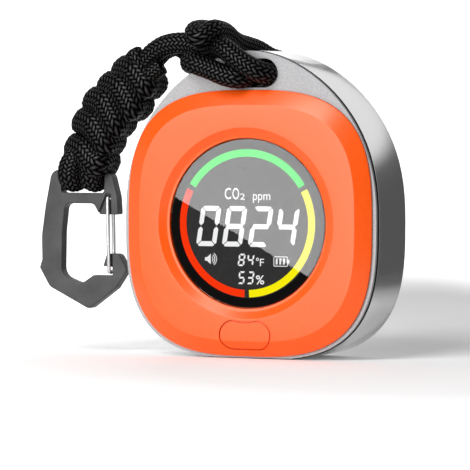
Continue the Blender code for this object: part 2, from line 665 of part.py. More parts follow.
def make_frame(grey):
    y0, y1 = LANYARD_Y - FRAME_HALF, LANYARD_Y + FRAME_HALF
    frame = add("carabiner_frame", prism(rounded(FRAME_OUTLINE), y0, y1), grey, smooth=False)
    chamfer = frame.modifiers.new("chamfer", "BEVEL")
    chamfer.width = EDGE * MM
    chamfer.segments = 1
    chamfer.limit_method = "ANGLE"
    chamfer.angle_limit = 1.2
    x0, x1, z0, z1 = SLOT
    slot = rounded([(x0, z0, 0.8), (x1, z0, 0.8), (x1, z1, 0.3), (x0, z1, 0.3)], 3)
    cut(frame, add("cut_slot", prism(slot, y0 - 1, y1 + 1), None))
    for name, ys in (("front", (y0 - 1, LANYARD_Y - BAR_HALF_DEPTH)),
                     ("back", (LANYARD_Y + BAR_HALF_DEPTH, y1 + 1))):
        cut(frame, add(f"cut_bar_{name}", block((x0, x1), ys, (z1 - 0.4, FRAME_TOP + 1)), None))
    groove = WIRE / 2 + GAP
    px, pz = PIVOT
    swing_out = (pz - EAR_FOOT_Z) * tan(GATE_OPEN)
    fan = [v(px - groove, 0, pz), v(px - groove - swing_out, 0, EAR_FOOT_Z),
           v(px + groove + 0.2, 0, EAR_FOOT_Z), v(px + groove, 0, pz)]
    for side in (-1, 1):
        depth = LANYARD_Y + side * (LEG_DEPTH - groove)
        ys = sorted((depth, LANYARD_Y + side * (FRAME_HALF + 1)))
        cut(frame, add(f"cut_fan_{side}", prism(fan, *ys), None))
        cut(frame, add(f"cut_nose_{side}", block(NOSE_X, ys, NOSE_Z), None))
    cut(frame, add("cut_pivot", drum(px, pz, y0 - 1, y1 + 1, groove, 16), None))
    set_origin(frame, (x0 + x1) / 2, LANYARD_Y, BAR_Z)
    return frame


def make_gate(steel):
    """A bent wire: a pin through the ear, two legs and the crossbar that catches the hook."""
    (px, pz), (cx, cz) = PIVOT, CATCH
    legs = []
    for side in (-1, 1):
        y = LANYARD_Y + side * LEG_DEPTH
        legs.append([v(px, y - side * 0.45, pz - 0.12), v(px + 0.02, y, pz - 0.6),
                     v((px + cx) / 2, y, (pz + cz) / 2), v(cx, y, cz + 0.6),
                     v(cx, y - side * 0.25, cz + 0.1)])
    path = [v(px, LANYARD_Y - 0.2, pz)] + legs[0]
    path += [v(cx, LANYARD_Y - 0.6, cz), v(cx, LANYARD_Y + 0.6, cz)]
    path += legs[1][::-1] + [v(px, LANYARD_Y + 0.2, pz)]
    return tube("wire_gate", path, WIRE, steel, v(px, LANYARD_Y, pz), 2)


def main():
    for thing in list(bpy.data.objects):
        bpy.data.objects.remove(thing, do_unlink=True)
    silver = material("silver", (0.46, 0.47, 0.48), 0.42, 0.6)
    orange = material("orange", (0.90, 0.13, 0.01), 0.38)
    black_cord = material("cord", (0.012, 0.012, 0.013), 0.85)
    grey = material("carabiner", (0.06, 0.062, 0.064), 0.6)
    steel = material("steel", (0.62, 0.61, 0.60), 0.3, 1.0)
    dark = material("panel", (0.01, 0.01, 0.012), 0.3)
    white = material("white", (0.8, 0.8, 0.78), 0.6)
    black = material("black", (0.02, 0.02, 0.02), 0.5)
    glass = material("glass", (0.02, 0.02, 0.022), 0.05)
    green = material("board", (0.01, 0.12, 0.04), 0.5)
    foam = material("foam", (0.03, 0.03, 0.03), 0.95)
    make_rear_shell(silver)
    make_front_frame(silver)
    make_face_plate(orange)
    make_button(orange)
    make_lens(glass)
    make_display(dark, white, black)
    make_board(green)
    make_screws("board_screw", steel, BOARD_SCREW_AT, FACE_Z,
                BOARD_BACK + GAP + HEAD_THICK - GAP, PLATE_BACK + 0.4)
    make_screws("case_screw", steel, CASE_SCREW_AT, WIDEST_Z, BACK - 0.1, BACK - CASE_SCREW_LENGTH)
    make_switch(steel)
    make_sensor(steel, white, foam)
    make_electronics(black, dark, foam, steel, white)
    make_socket(steel)
    make_cord(black_cord)
    make_weave(black_cord)
    make_loops(black_cord)
    make_frame(grey)
    make_gate(steel)


main()
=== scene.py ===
# %% [markdown]
# # A pocket carbon dioxide monitor on a cord lanyard
#
# This lesson dresses a finished CAD model. The CAD model already holds every solid part at its
# real size, so each step below either gives one of those parts a better surface, or builds a
# finer piece that stands in its place: braided cord, a printed display, rounded plastic edges.
#
# Sizes are in millimetres and are turned into Blender's metres when a mesh is made. The case
# stands on z = 0, its display faces -Y, and +X is its right side seen from the front.

# %% Start
from math import cos, pi, radians, sin, tan

import bmesh
import bpy
import numpy as np
from mathutils import Matrix, Vector


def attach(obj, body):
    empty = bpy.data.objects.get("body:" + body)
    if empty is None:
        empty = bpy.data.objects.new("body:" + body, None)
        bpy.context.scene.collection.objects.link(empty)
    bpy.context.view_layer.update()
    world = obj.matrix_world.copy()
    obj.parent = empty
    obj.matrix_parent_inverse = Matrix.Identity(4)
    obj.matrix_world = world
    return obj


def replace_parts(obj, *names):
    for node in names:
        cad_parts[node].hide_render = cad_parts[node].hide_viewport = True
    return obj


MM = 0.001
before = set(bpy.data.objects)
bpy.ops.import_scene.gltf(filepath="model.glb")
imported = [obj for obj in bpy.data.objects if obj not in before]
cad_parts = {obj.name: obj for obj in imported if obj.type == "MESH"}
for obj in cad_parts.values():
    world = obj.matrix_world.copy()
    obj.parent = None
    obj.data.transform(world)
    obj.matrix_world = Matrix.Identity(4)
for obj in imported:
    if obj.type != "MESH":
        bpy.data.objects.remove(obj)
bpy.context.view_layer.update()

# %% [markdown]
# ## The camera
#
# A product picture of a small object is taken from far away with a long lens, which keeps the
# two sides of the case nearly parallel. A camera is a location and a direction. Writing them
# as a target, a distance and two angles makes the view easy to nudge later.

# %% Camera
CAMERA_AZIMUTH, CAMERA_ELEVATION = radians(24.44), radians(1.94)
CAMERA_DISTANCE = 821.6
CAMERA_LENS = 257.1              # focal length for a sensor 36 mm wide
CAMERA_TARGET = Vector((-7.41, 0, 29.56))

back = Vector((sin(CAMERA_AZIMUTH) * cos(CAMERA_ELEVATION),
               -cos(CAMERA_AZIMUTH) * cos(CAMERA_ELEVATION), sin(CAMERA_ELEVATION)))
camera = bpy.data.objects.new("camera", bpy.data.cameras.new("camera"))
bpy.context.collection.objects.link(camera)
camera.data.lens = CAMERA_LENS
camera.data.clip_start, camera.data.clip_end = 0.05, 20
camera.location = (CAMERA_TARGET + back * CAMERA_DISTANCE) * MM
camera.rotation_mode = "QUATERNION"
camera.rotation_quaternion = (-back).to_track_quat("-Z", "Y")
bpy.context.scene.camera = camera
print("Camera at", [round(c, 3) for c in camera.location])

# %% [markdown]
# ## Meshes from rings
#
# Most of this object is made by lofting: a row of closed rings with equal numbers of points,
# skinned with quads. These helpers do that with plain lists of points. A piece that shows
# crisp edges gets an Edge Split modifier, so smooth shading stops at every sharp corner. A CAD
# mesh may hold each corner several times, so it is welded first.

# %% Mesh helpers
WELD_WITHIN = 0.001      # corners closer than this are one corner


def v(x, y, z):
    return Vector((x, y, z))


def add_mesh(name, points, faces, finish, body, smooth=True):
    """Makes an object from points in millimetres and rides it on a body."""
    mesh = bpy.data.meshes.new(name)
    mesh.from_pydata([tuple(c * MM for c in p) for p in points], [], faces)
    mesh.polygons.foreach_set("use_smooth", [smooth] * len(mesh.polygons))
    mesh.materials.append(finish)
    made = bpy.data.objects.new(name, mesh)
    bpy.context.collection.objects.link(made)
    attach(made, body)
    return made


def loft_faces(rings, around=False):
    """Quads between rings of equal count; the ends are filled, or joined to each other."""
    count, faces = len(rings[0]), []
    last = len(rings) if around else len(rings) - 1
    for r in range(last):
        a, b = r * count, (r + 1) % len(rings) * count
        for i in range(count):
            j = (i + 1) % count
            faces.append((a + i, a + j, b + j, b + i))
    if not around:
        faces.append(tuple(reversed(range(count))))
        faces.append(tuple(range((len(rings) - 1) * count, len(rings) * count)))
    return faces


def loft(name, rings, finish, body, around=False, smooth=True):
    points = [p for ring in rings for p in ring]
    return add_mesh(name, points, loft_faces(rings, around), finish, body, smooth)


def split_edges(made, degrees=32, weld=False):
    """Stops smooth shading wherever two faces meet at more than this angle."""
    if weld:
        made.modifiers.new("weld", "WELD").merge_threshold = WELD_WITHIN * MM
    crisp = made.modifiers.new("crisp", "EDGE_SPLIT")
    crisp.split_angle = radians(degrees)
    return made


def face_outward(made):
    """Turns every face outward, whichever way round its rings were listed."""
    bm = bmesh.new()
    bm.from_mesh(made.data)
    bmesh.ops.recalc_face_normals(bm, faces=bm.faces)
    bm.to_mesh(made.data)
    bm.free()
    return made


print("Mesh helpers ready; 1 mm is", MM, "of Blender's metres")

# %% [markdown]
# ## Node materials
#
# Every surface here is a Principled BSDF with a few procedural nodes in front of it. The
# helper below makes the shader, sets its plain numbers on its own sockets, and hands back a
# small tool for adding nodes, so that each material's function reads as a short recipe.

# %% Material helper
COLOUR_A, COLOUR_B, COLOUR_OUT = 6, 7, 2         # a Mix node's sockets when it mixes colours


class Recipe:
    """A material under construction: its shader and shortcuts for the usual nodes."""

    def __init__(self, name, colour, roughness, metallic=0.0, **sockets):
        self.material = bpy.data.materials.new(name)
        self.material.use_nodes = True
        self.nodes = self.material.node_tree.nodes
        self.links = self.material.node_tree.links
        self.shader = self.nodes["Principled BSDF"]
        self.shader.inputs["Base Color"].default_value = (*colour, 1)
        self.shader.inputs["Roughness"].default_value = roughness
        self.shader.inputs["Metallic"].default_value = metallic
        for socket, value in sockets.items():
            self.shader.inputs[socket.replace("_", " ")].default_value = value

    def node(self, kind, **settings):
        made = self.nodes.new(kind)
        for key, value in settings.items():
            if key in made.inputs:
                made.inputs[key].default_value = value
            else:
                setattr(made, key, value)
        return made

    def link(self, source, target):
        self.links.new(source, target)

    def noise(self, scale, detail=3.0):
        """Noise with scale in waves per metre, fixed to the object's own coordinates."""
        place = self.node("ShaderNodeTexCoord")
        noise = self.node("ShaderNodeTexNoise", Scale=scale, Detail=detail)
        self.link(place.outputs["Object"], noise.inputs["Vector"])
        return noise.outputs["Fac"]

    def ramp(self, source, stops):
        """Maps a number to colours through (position, grey or colour) stops."""
        ramp = self.node("ShaderNodeValToRGB")
        elements = ramp.color_ramp.elements
        while len(elements) < len(stops):
            elements.new(0.5)
        for element, (position, colour) in zip(elements, stops):
            element.position = position
            full = colour if isinstance(colour, tuple) else (colour,) * 3
            element.color = (*full, 1)
        self.link(source, ramp.inputs["Fac"])
        return ramp.outputs["Color"]

    def colour(self, source, stops):
        self.link(self.ramp(source, stops), self.shader.inputs["Base Color"])

    def reach(self, source, low, high, from_low=0.0, from_high=1.0, kind="LINEAR"):
        """Maps a number from one range to another; kind is how it runs between the ends."""
        reach = self.node("ShaderNodeMapRange", interpolation_type=kind)
        for socket, value in (("From Min", from_low), ("From Max", from_high),
                              ("To Min", low), ("To Max", high)):
            reach.inputs[socket].default_value = value
        self.link(source, reach.inputs["Value"])
        return reach.outputs["Result"]

    def rough(self, source, low, high):
        self.link(self.reach(source, low, high), self.shader.inputs["Roughness"])

    def bump(self, source, strength, distance):
        """Fine relief: distance is the height in millimetres of a full step of the source."""
        last = self.shader.inputs["Normal"]
        before = last.links[0].from_socket if last.links else None
        bump = self.node("ShaderNodeBump", Strength=strength, Distance=distance * MM)
        self.link(source, bump.inputs["Height"])
        if before:
            self.link(before, bump.inputs["Normal"])
        self.link(bump.outputs["Normal"], last)


# %% [markdown]
# ## Braided cord
#
# Parachute cord has a sheath of about thirty strands: half wind one way, half the other, and
# each passes over two and under two. Instead of a picture of that braid, the tube itself is
# raised where a strand comes over the top.
#
# Two numbers place any point on the braid: `p` counts strands along one winding direction and
# `q` along the other. Whole parts say which strands cross there, and their sum decides which
# of the two lies on top. Fractions say how far across and along that strand the point is.

# %% The braid as a height
STRANDS = 15         # strands that wind each way
REPEAT = 4           # over two, under two
COUNT_FROM = 400     # a multiple of REPEAT that keeps both counts above zero
DIP = 0.75           # how much of its height a strand loses where it goes under


def braid_height(p, q):
    """0 in the creases between strands, 1 on top of one; p and q are arrays."""
    half = REPEAT / 2
    over = np.mod(np.floor(p) + np.floor(q), REPEAT) < half
    across = np.where(over, q, p) % 1
    run = np.where(over, np.mod(p + np.floor(q), REPEAT), np.mod(q + np.floor(p), REPEAT) - half)
    across = np.sin(pi * across) ** 0.7
    run = np.clip(np.sin(pi * np.clip(run / half, 0, 1)), 0, 1) ** 0.6
    return across * (1 - DIP + DIP * run)


crossings = np.linspace(0, REPEAT, 200)
print(f"Mean strand height {braid_height(crossings, 0.5 + 0 * crossings).mean():.2f} of the top")

# %% [markdown]
# ### A tube along a line
#
# A cord is drawn as many rings along a smooth line. The sideways direction of each ring is
# carried on from the ring before and turned as little as possible, so that the braid does not
# twist where the cord bends. Each ring is then pushed out by the height of the braid there.

# %% Braided tubes
CURVE_PARTS = 24     # straight parts drawn between two given points
END_ROUND = 0.55     # a rounded end starts this many radii before the tip
TIP = 0.0004         # keeps the last ring from closing to a point


def smooth_line(points, step):
    """A smooth curve through the points, one point every step millimetres, and its length."""
    ends = [2 * points[0] - points[1]] + points + [2 * points[-1] - points[-2]]
    dense = []
    for a, b, c, d in zip(ends, ends[1:], ends[2:], ends[3:]):
        for i in range(CURVE_PARTS):
            t = i / CURVE_PARTS
            dense.append(0.5 * (2 * b + (c - a) * t + (2 * a - 5 * b + 4 * c - d) * t * t
                                + (3 * b - a - 3 * c + d) * t ** 3))
    dense = np.array([tuple(p) for p in dense + [points[-1]]])
    run = np.concatenate([[0], np.cumsum(np.linalg.norm(np.diff(dense, axis=0), axis=1))])
    at = np.linspace(0, run[-1], max(2, int(run[-1] / step)) + 1)
    return np.stack([np.interp(at, run, dense[:, k]) for k in range(3)], axis=1), run[-1]


def frames_along(line):
    """For each point its direction and two sideways directions, turning as little as can be."""
    ahead = np.gradient(line, axis=0)
    ahead /= np.linalg.norm(ahead, axis=1)[:, None]
    side = np.cross(ahead[0], (0.0, 1.0, 0.0))
    if np.linalg.norm(side) < 0.2:
        side = np.cross(ahead[0], (1.0, 0.0, 0.0))
    sides = []
    for direction in ahead:
        side = side - direction * (side @ direction)
        side = side / np.linalg.norm(side)
        sides.append(side)
    sides = np.array(sides)
    return ahead, sides, np.cross(ahead, sides)


def braid_tube(line, radius, around, relief, flatten=None, rounded=True):
    """Points, faces and heights of one braided tube.

    flatten is a direction, the tube's scale along it and its scale across it.
    """
    ahead, side, up = frames_along(line)
    steps = np.concatenate([[0], np.cumsum(np.linalg.norm(np.diff(line, axis=0), axis=1))])
    angle = np.linspace(0, 2 * pi, around, endpoint=False)
    turn = STRANDS * angle[None, :] / (2 * pi)
    wind = STRANDS * steps[:, None] / (2 * pi * radius)
    height = braid_height(COUNT_FROM + turn + wind, COUNT_FROM + turn - wind)
    size = radius - relief + relief * height
    if rounded:
        left = np.minimum(steps, steps[-1] - steps)
        near = np.clip(left / (END_ROUND * radius), 0, 1)
        size = size * np.sqrt(np.clip(1 - (1 - near) ** 2, TIP, 1))[:, None]
    out = side[:, None, :] * np.cos(angle)[None, :, None]
    out = out + up[:, None, :] * np.sin(angle)[None, :, None]
    offset = out * size[:, :, None]
    if flatten is not None:
        direction, wide, thin = flatten
        direction = np.array(direction, float)
        part = offset @ direction
        offset = offset * thin + direction[None, None, :] * (part * (wide - thin))[:, :, None]
    points = (line[:, None, :] + offset).reshape(-1, 3)
    rows, count = len(line), around
    a = np.arange(rows - 1)[:, None] * count + np.arange(count)[None, :]
    b = np.arange(rows - 1)[:, None] * count + (np.arange(count)[None, :] + 1) % count
    faces = np.stack([a, b, b + count, a + count], axis=-1).reshape(-1, 4)
    return points, faces, height.reshape(-1)


def add_braids(name, tubes, finish, body):
    """One object from several braided tubes, with their relief kept for the material."""
    points, faces, heights, caps, start = [], [], [], [], 0
    for tube_points, tube_faces, height in tubes:
        count = tube_faces[0][3] - tube_faces[0][0]
        caps.append(list(range(start + count - 1, start - 1, -1)))
        end = start + len(tube_points)
        caps.append(list(range(end - count, end)))
        points.append(tube_points)
        faces += (tube_faces + start).tolist()
        heights.append(height)
        start = end
    made = add_mesh(name, np.concatenate(points).tolist(), faces + caps, finish, body)
    strand = made.data.attributes.new("strand", "FLOAT", "POINT")
    strand.data.foreach_set("value", np.concatenate(heights).astype(np.float32))
    print(f"{name}: {len(made.data.polygons)} faces")
    return made


# %% [markdown]
# ### The cord's surface
#
# Black nylon is never pure black: the tops of the strands catch light and the creases do not.
# The height that raised each strand is stored on the mesh, and the material reads it back to
# paint shade into the creases and a highlight onto the strand tops, and to take the creases'
# gloss away. Fine noise stands for the single fibres.

# %% Cord material
def make_cord_material():
    made = Recipe("cord_nylon", (0.006, 0.006, 0.006), 0.45)
    strand = made.node("ShaderNodeAttribute", attribute_name="strand")
    # painted shade in the creases and a painted highlight on the strand tops, by braid height
    made.colour(strand.outputs["Fac"], [(0.25, 0.0003), (0.7, 0.003), (1.0, (0.016, 0.016, 0.017))])
    gloss = made.reach(strand.outputs["Fac"], 0, 0.55, from_low=0.45)
    made.link(gloss, made.shader.inputs["Specular IOR Level"])
    fibres = made.noise(5200, 2)
    made.rough(fibres, 0.36, 0.55)
    made.bump(fibres, 0.4, 0.05)
    return made.material


cord_black = make_cord_material()
print("Made", cord_black.name)

# %% [markdown]
# ### The cord through the case
#
# One piece of cord leaves the weave, dives through the hole in the case, loops back over
# itself and returns: a lark's head hitch. The route is a short list of given points,
# and a smooth curve is drawn through them. Its two ends run on into the weave, so that no gap
# opens when the lanyard swings.

# %% Hitch
CORD = 5.3
RELIEF = 0.26        # height of the strands
HITCH_STEP = 0.205   # from one ring of the tube to the next
CORD_ROUTE = [
    (-27.6, -5.2, 73.6), (-26.2, -5.4, 74.6), (-23.6, -5.6, 75.9), (-20.0, -5.6, 76.5),
    (-16.5, -5.4, 76.1), (-13.2, -5.7, 74.7), (-10.0, -6.8, 74.9), (-7.4, -8.9, 75.3),
    (-4.7, -10.8, 74.5), (-2.0, -11.6, 72.7), (1.0, -11.5, 70.8), (3.5, -10.6, 69.4),
    (4.9, -8.4, 68.9), (5.0, -5.0, 68.9), (5.0, 2.0, 69.0), (5.0, 8.5, 69.0),
    (4.4, 12.2, 69.6), (2.2, 14.0, 70.8), (-1.2, 14.2, 72.1), (-4.4, 14.0, 73.2),
    (-7.0, 12.8, 74.9), (-8.6, 10.0, 75.8), (-9.4, 6.5, 76.4), (-9.5, 2.5, 77.4),
    (-9.2, -1.5, 78.7), (-9.1, -5.5, 79.3), (-9.3, -9.3, 79.3), (-11.4, -11.9, 77.5),
    (-13.6, -9.7, 79.0), (-13.5, -6.0, 79.5), (-13.7, -1.0, 79.2), (-14.1, 3.5, 77.7),
    (-14.0, 8.0, 75.8), (-13.0, 11.6, 74.0), (-10.9, 13.7, 71.6), (-8.0, 14.1, 69.4),
    (-4.9, 13.9, 67.5), (-2.0, 13.0, 67.4), (0.1, 9.2, 68.5), (0.2, 3.0, 69.0),
    (0.2, -3.0, 68.8), (-0.2, -7.2, 68.3), (-2.0, -10.3, 67.8), (-5.2, -11.2, 68.5),
    (-9.0, -11.2, 70.0), (-12.6, -10.9, 71.2), (-14.9, -9.2, 71.9), (-16.0, -7.0, 71.5),
    (-17.3, -3.6, 72.0), (-18.9, -1.4, 73.4), (-20.7, -0.4, 75.0), (-23.4, -0.3, 76.0),
    (-26.2, -0.6, 75.0), (-27.6, -0.8, 73.8),
]
LANYARD_Y = -3.0
SWING = v(-31.3, LANYARD_Y, 69.3)

into_weave = [SWING + v(0.9, -1.6, 1.0), SWING + v(2.4, -2.0, 3.0)]
out_of_weave = [SWING + v(2.4, 2.0, 3.0), SWING + v(0.9, 1.6, 1.0)]
hitch_points = into_weave + [v(*p) for p in CORD_ROUTE] + out_of_weave
hitch_line, hitch_length = smooth_line(hitch_points, HITCH_STEP)
lanyard_cord = add_braids("lanyard_hitch", [braid_tube(hitch_line, CORD / 2, 96, RELIEF)],
                          cord_black, "case")
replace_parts(lanyard_cord, "lanyard_cord")
print(f"The hitch takes {hitch_length:.0f} mm of {CORD} mm cord")

# %% [markdown]
# ### The weave
#
# The strap is a cobra weave: a cord laid in turns, side to side, round two straight ones. Pulled
# tight, each turn flattens against its neighbours. So each turn here is a closed ring of
# braided cord, wider along the strap than it is thick. Five points lead it across the front,
# dipping to the right, and the same points lead it back behind.
#
# Two cut ends stand out at the top, each melted flat so the braid cannot fray.

# %% Weave
TURN_RADIUS, TURN_WIDE, TURN_THIN = 2.5, 1.42, 0.84      # the scales along and across the strap
TIGHT_RADIUS, TIGHT_RELIEF = 2.3, 0.24                   # cord that is pulled tighter
WEAVE_STEP = 0.24
TURNS = [                # the x and z of each turn's five points, from its left to its right
    [(-36.9, 70.9), (-32.5, 70.1), (-30.0, 67.6), (-28.5, 65.5), (-28.7, 65.8)],
    [(-40.9, 67.1), (-36.3, 66.0), (-33.6, 62.8), (-32.2, 60.3), (-32.3, 60.6)],
    [(-45.0, 63.1), (-40.5, 62.2), (-38.0, 58.7), (-36.7, 56.2), (-36.8, 56.2)],
    [(-48.1, 57.8), (-43.7, 56.7), (-41.0, 53.8), (-39.6, 51.7), (-39.0, 52.1)],
    [(-50.4, 51.2), (-46.2, 50.0), (-43.2, 47.4), (-41.2, 46.7), (-40.8, 47.6)],
]
STRAP_RUN = [(-0.68, -0.73), (-0.68, -0.73), (-0.6, -0.8), (-0.5, -0.87), (-0.38, -0.93)]
TURN_DEPTH = (0.0, 3.3, 3.9, 3.3, 0.0)           # how far each point stands out from the middle
CUT_ENDS = [
    [(-30.0, -4.6, 69.4), (-30.0, -5.8, 71.0), (-30.9, -6.3, 72.8), (-32.1, -6.0, 74.3)],
    [(-28.8, -5.4, 67.6), (-27.3, -6.2, 68.8), (-25.8, -6.2, 70.0), (-24.4, -6.0, 71.0)],
]


def turn_line(turn):
    """The closed centreline of one turn, starting behind the middle of the strap."""
    front = [v(x, LANYARD_Y - d, z) for (x, z), d in zip(turn, TURN_DEPTH)]
    rear = [v(x, LANYARD_Y + d, z) for (x, z), d in zip(turn, TURN_DEPTH)]
    return smooth_line([rear[2], rear[1]] + front + [rear[3], rear[2]], WEAVE_STEP)[0]


def make_weave():
    tubes = []
    for turn, (x, z) in zip(TURNS, STRAP_RUN):
        flatten = ((x, 0, z), TURN_WIDE, TURN_THIN)
        tubes.append(braid_tube(turn_line(turn), TURN_RADIUS, 80, RELIEF, flatten, False))
    for end in CUT_ENDS:
        line, _ = smooth_line([v(*p) for p in end], WEAVE_STEP)
        tubes.append(braid_tube(line, TIGHT_RADIUS, 72, TIGHT_RELIEF, rounded=False))
    return add_braids("lanyard_weave_turns", tubes, cord_black, "lanyard")


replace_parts(make_weave(), "lanyard_weave")

# %% [markdown]
# ### The loops round the carabiner's bar
#
# Below the weave the two straight cords pass round the top bar of the carabiner. They are
# squeezed into its slot, so each is drawn wider than it is thick.

# %% Loops
BAR_Z = 44.7
LOOP_REACH = 2.95
LOOP_STEP = 0.2
LOOP_FLATTEN = ((1, 0, 0), 1.3, 0.88)
LOOPS = ((-50.1, 2.2), (-44.2, 0.8))         # middle of each loop, and how far it leans inward


def loop_points(x, lean):
    """Down in front of the bar, under it, up behind, and on into the weave."""
    front = [v(x + lean, LANYARD_Y - 1.2, 52.0), v(x + lean * 0.8, LANYARD_Y - 2.2, 49.6),
             v(x + lean * 0.25, LANYARD_Y - LOOP_REACH, 47.0)]
    turn = [v(x, LANYARD_Y - LOOP_REACH * cos(k * pi / 8), BAR_Z - LOOP_REACH * sin(k * pi / 8))
            for k in range(9)]
    behind = [v(p.x, 2 * LANYARD_Y - p.y, p.z) for p in reversed(front)]
    return front + turn + behind


for i, (x, lean) in enumerate(LOOPS):
    line, _ = smooth_line(loop_points(x, lean), LOOP_STEP)
    tube = braid_tube(line, TIGHT_RADIUS, 80, TIGHT_RELIEF, LOOP_FLATTEN)
    loop = add_braids(f"bar_loop_{i + 1}", [tube], cord_black, "lanyard")
    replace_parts(loop, f"lanyard_loop_{i + 1}")

# %% [markdown]
# ## The carabiner
#
# The hook is moulded in dark grey and keeps the CAD model's own shape. Its sharp edges are
# softened in the material: a Bevel node bends the surface normal near each edge, so the edge
# catches a fine line of light as a moulded edge does. Fine noise makes the leathery texture
# that comes from the mould, and coarse noise varies the grey. The gate is bare steel wire.

# %% Carabiner materials
def soften(made, radius):
    """Rounds the shading at edges, radius in millimetres."""
    bevel = made.node("ShaderNodeBevel", samples=6, Radius=radius * MM)
    made.link(bevel.outputs["Normal"], made.shader.inputs["Normal"])


def finish_nodes(names, material, crisp=32):
    """Gives CAD nodes a new surface and stops smooth shading at their crisp edges."""
    for name in names:
        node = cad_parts[name]
        node.data.materials.clear()
        node.data.materials.append(material)
        if "custom_normal" in node.data.attributes:
            node.data.attributes.remove(node.data.attributes["custom_normal"])
        node.data.polygons.foreach_set("use_smooth", [True] * len(node.data.polygons))
        split_edges(node, crisp, weld=True)


def make_hook_material():
    made = Recipe("moulded_nylon", (0.038, 0.038, 0.04), 0.42)
    soften(made, 0.35)
    grain = made.noise(2600, 4)
    blotch = made.noise(180, 2)
    made.colour(blotch, [(0.3, (0.024, 0.024, 0.025)), (0.7, (0.048, 0.048, 0.05))])
    made.rough(grain, 0.36, 0.55)
    made.bump(grain, 0.7, 0.05)
    return made.material


def make_steel_material():
    made = Recipe("steel_wire", (0.72, 0.72, 0.73), 0.3, 1.0)
    made.rough(made.noise(1500, 2), 0.3, 0.4)
    return made.material


finish_nodes(["carabiner_frame"], make_hook_material(), 25)
finish_nodes(["wire_gate"], make_steel_material(), 60)
print("Surfaces made for the hook and its gate")

# %% [markdown]
# ## The case
#
# Both halves are the CAD model's own. The rear shell is satin silver and mirrors the room
# softly. The front frame is a greyer silver with a fine sparkle: one fine noise changes its
# colour, its roughness and its relief together. A line of shadow is painted where the two meet:
# the shell's lip, which faces forward, and the back of the frame are both given a dark colour.

# %% Case materials
SEAM_SHADE_FROM = -7.4                     # the frame gets painted seam shade from this y to its back
FACING_FRONT = -0.7                  # the shell gets painted seam shade where its normal's y is below this
# the colour of the shade painted into the gap where the two halves meet
PAINTED_SEAM_SHADE = (0.03, 0.03, 0.032, 1)


def depth_of(made, coordinates):
    """The y of a texture coordinate: Normal for where a face points, Object for where it is."""
    parts = made.node("ShaderNodeSeparateXYZ")
    made.link(made.node("ShaderNodeTexCoord").outputs[coordinates], parts.inputs["Vector"])
    return parts.outputs["Y"]


def paint_seam_shade(made, test, value, limit):
    """Paints seam shade: turns the colour dark wherever value passes the test against limit."""
    passed = made.node("ShaderNodeMath", operation=test)
    passed.inputs[1].default_value = limit
    made.link(value, passed.inputs[0])
    pick = made.node("ShaderNodeMix", data_type="RGBA")
    made.link(passed.outputs["Value"], pick.inputs["Factor"])
    made.link(made.shader.inputs["Base Color"].links[0].from_socket, pick.inputs[COLOUR_A])
    pick.inputs[COLOUR_B].default_value = PAINTED_SEAM_SHADE
    made.link(pick.outputs[COLOUR_OUT], made.shader.inputs["Base Color"])


def make_shell_material():
    made = Recipe("satin_silver", (0.82, 0.82, 0.825), 0.17, 0.95)
    soften(made, 0.5)
    grain = made.noise(3000, 3)
    made.colour(grain, [(0.35, (0.78, 0.78, 0.785)), (0.65, (0.86, 0.86, 0.865))])
    made.rough(grain, 0.14, 0.2)
    made.bump(grain, 0.05, 0.01)
    # painted shade on the shell's forward-facing lip, in the gap behind the frame
    paint_seam_shade(made, "LESS_THAN", depth_of(made, "Normal"), FACING_FRONT)
    return made.material


def make_speckle_material():
    made = Recipe("sparkle_silver", (0.36, 0.36, 0.365), 0.5, 0.0)
    soften(made, 0.3)
    fleck = made.noise(3600, 2)
    made.colour(fleck, [(0.36, (0.29, 0.29, 0.295)), (0.5, (0.36, 0.36, 0.37)),
                        (0.66, (0.45, 0.45, 0.46))])
    made.rough(fleck, 0.4, 0.6)
    made.bump(fleck, 0.25, 0.02)
    # painted shade on the back of the frame, where it meets the shell
    paint_seam_shade(made, "GREATER_THAN", depth_of(made, "Object"), SEAM_SHADE_FROM * MM)
    return made.material


finish_nodes(["rear_shell"], make_shell_material())
finish_nodes(["front_frame"], make_speckle_material())
print("Surfaces made for both halves of the case")

# %% [markdown]
# ## The face plate
#
# The orange plate is one loft. Its cross-section is a short open line of points, each with a
# corner radius, that runs from the skirt behind the plate, round the rim, up the sloping
# border, over the flat and down the dish to the lens. Outside, each ring is a squircle; inside
# it is a circle. Real corner radii matter here: every edge of a glossy plate shows as a line
# of light, and its width is the radius.

# %% Face plate
FRONT, LENS_FRONT, CASE_FRONT, PLATE_BACK = -10.7, -9.4, -8.1, -6.9      # depths, as y
EDGE_Y = CASE_FRONT - 0.12       # the plate's outer edge stands just in front of the frame
LEDGE_Y = LENS_FRONT + 1.3       # the ledge behind the lens
FACE_Z = 32.75                   # height of the display's middle
SEAT_RADIUS = 18.9               # the opening behind the lens
SKIRT = 26.6                     # half the width of the part that sits in the frame
FINE = 288                       # points round each large ring


def squircle_ring(y, half, exponent=3.0):
    """A ring between a circle and a square; a higher exponent is squarer."""
    ring = []
    for i in range(FINE):
        c, s = cos(2 * pi * i / FINE), sin(2 * pi * i / FINE)
        size = (abs(c) ** exponent + abs(s) ** exponent) ** (-1 / exponent)
        ring.append(v(half * c * size, y, FACE_Z + half * s * size))
    return ring


def round_ring(y, radius, x=0.0, z=FACE_Z, count=FINE):
    turns = [2 * pi * i / count for i in range(count)]
    return [v(x + radius * cos(a), y, z + radius * sin(a)) for a in turns]


STRAIGHT = 1.55      # half the angle at a corner so flat that it is left alone


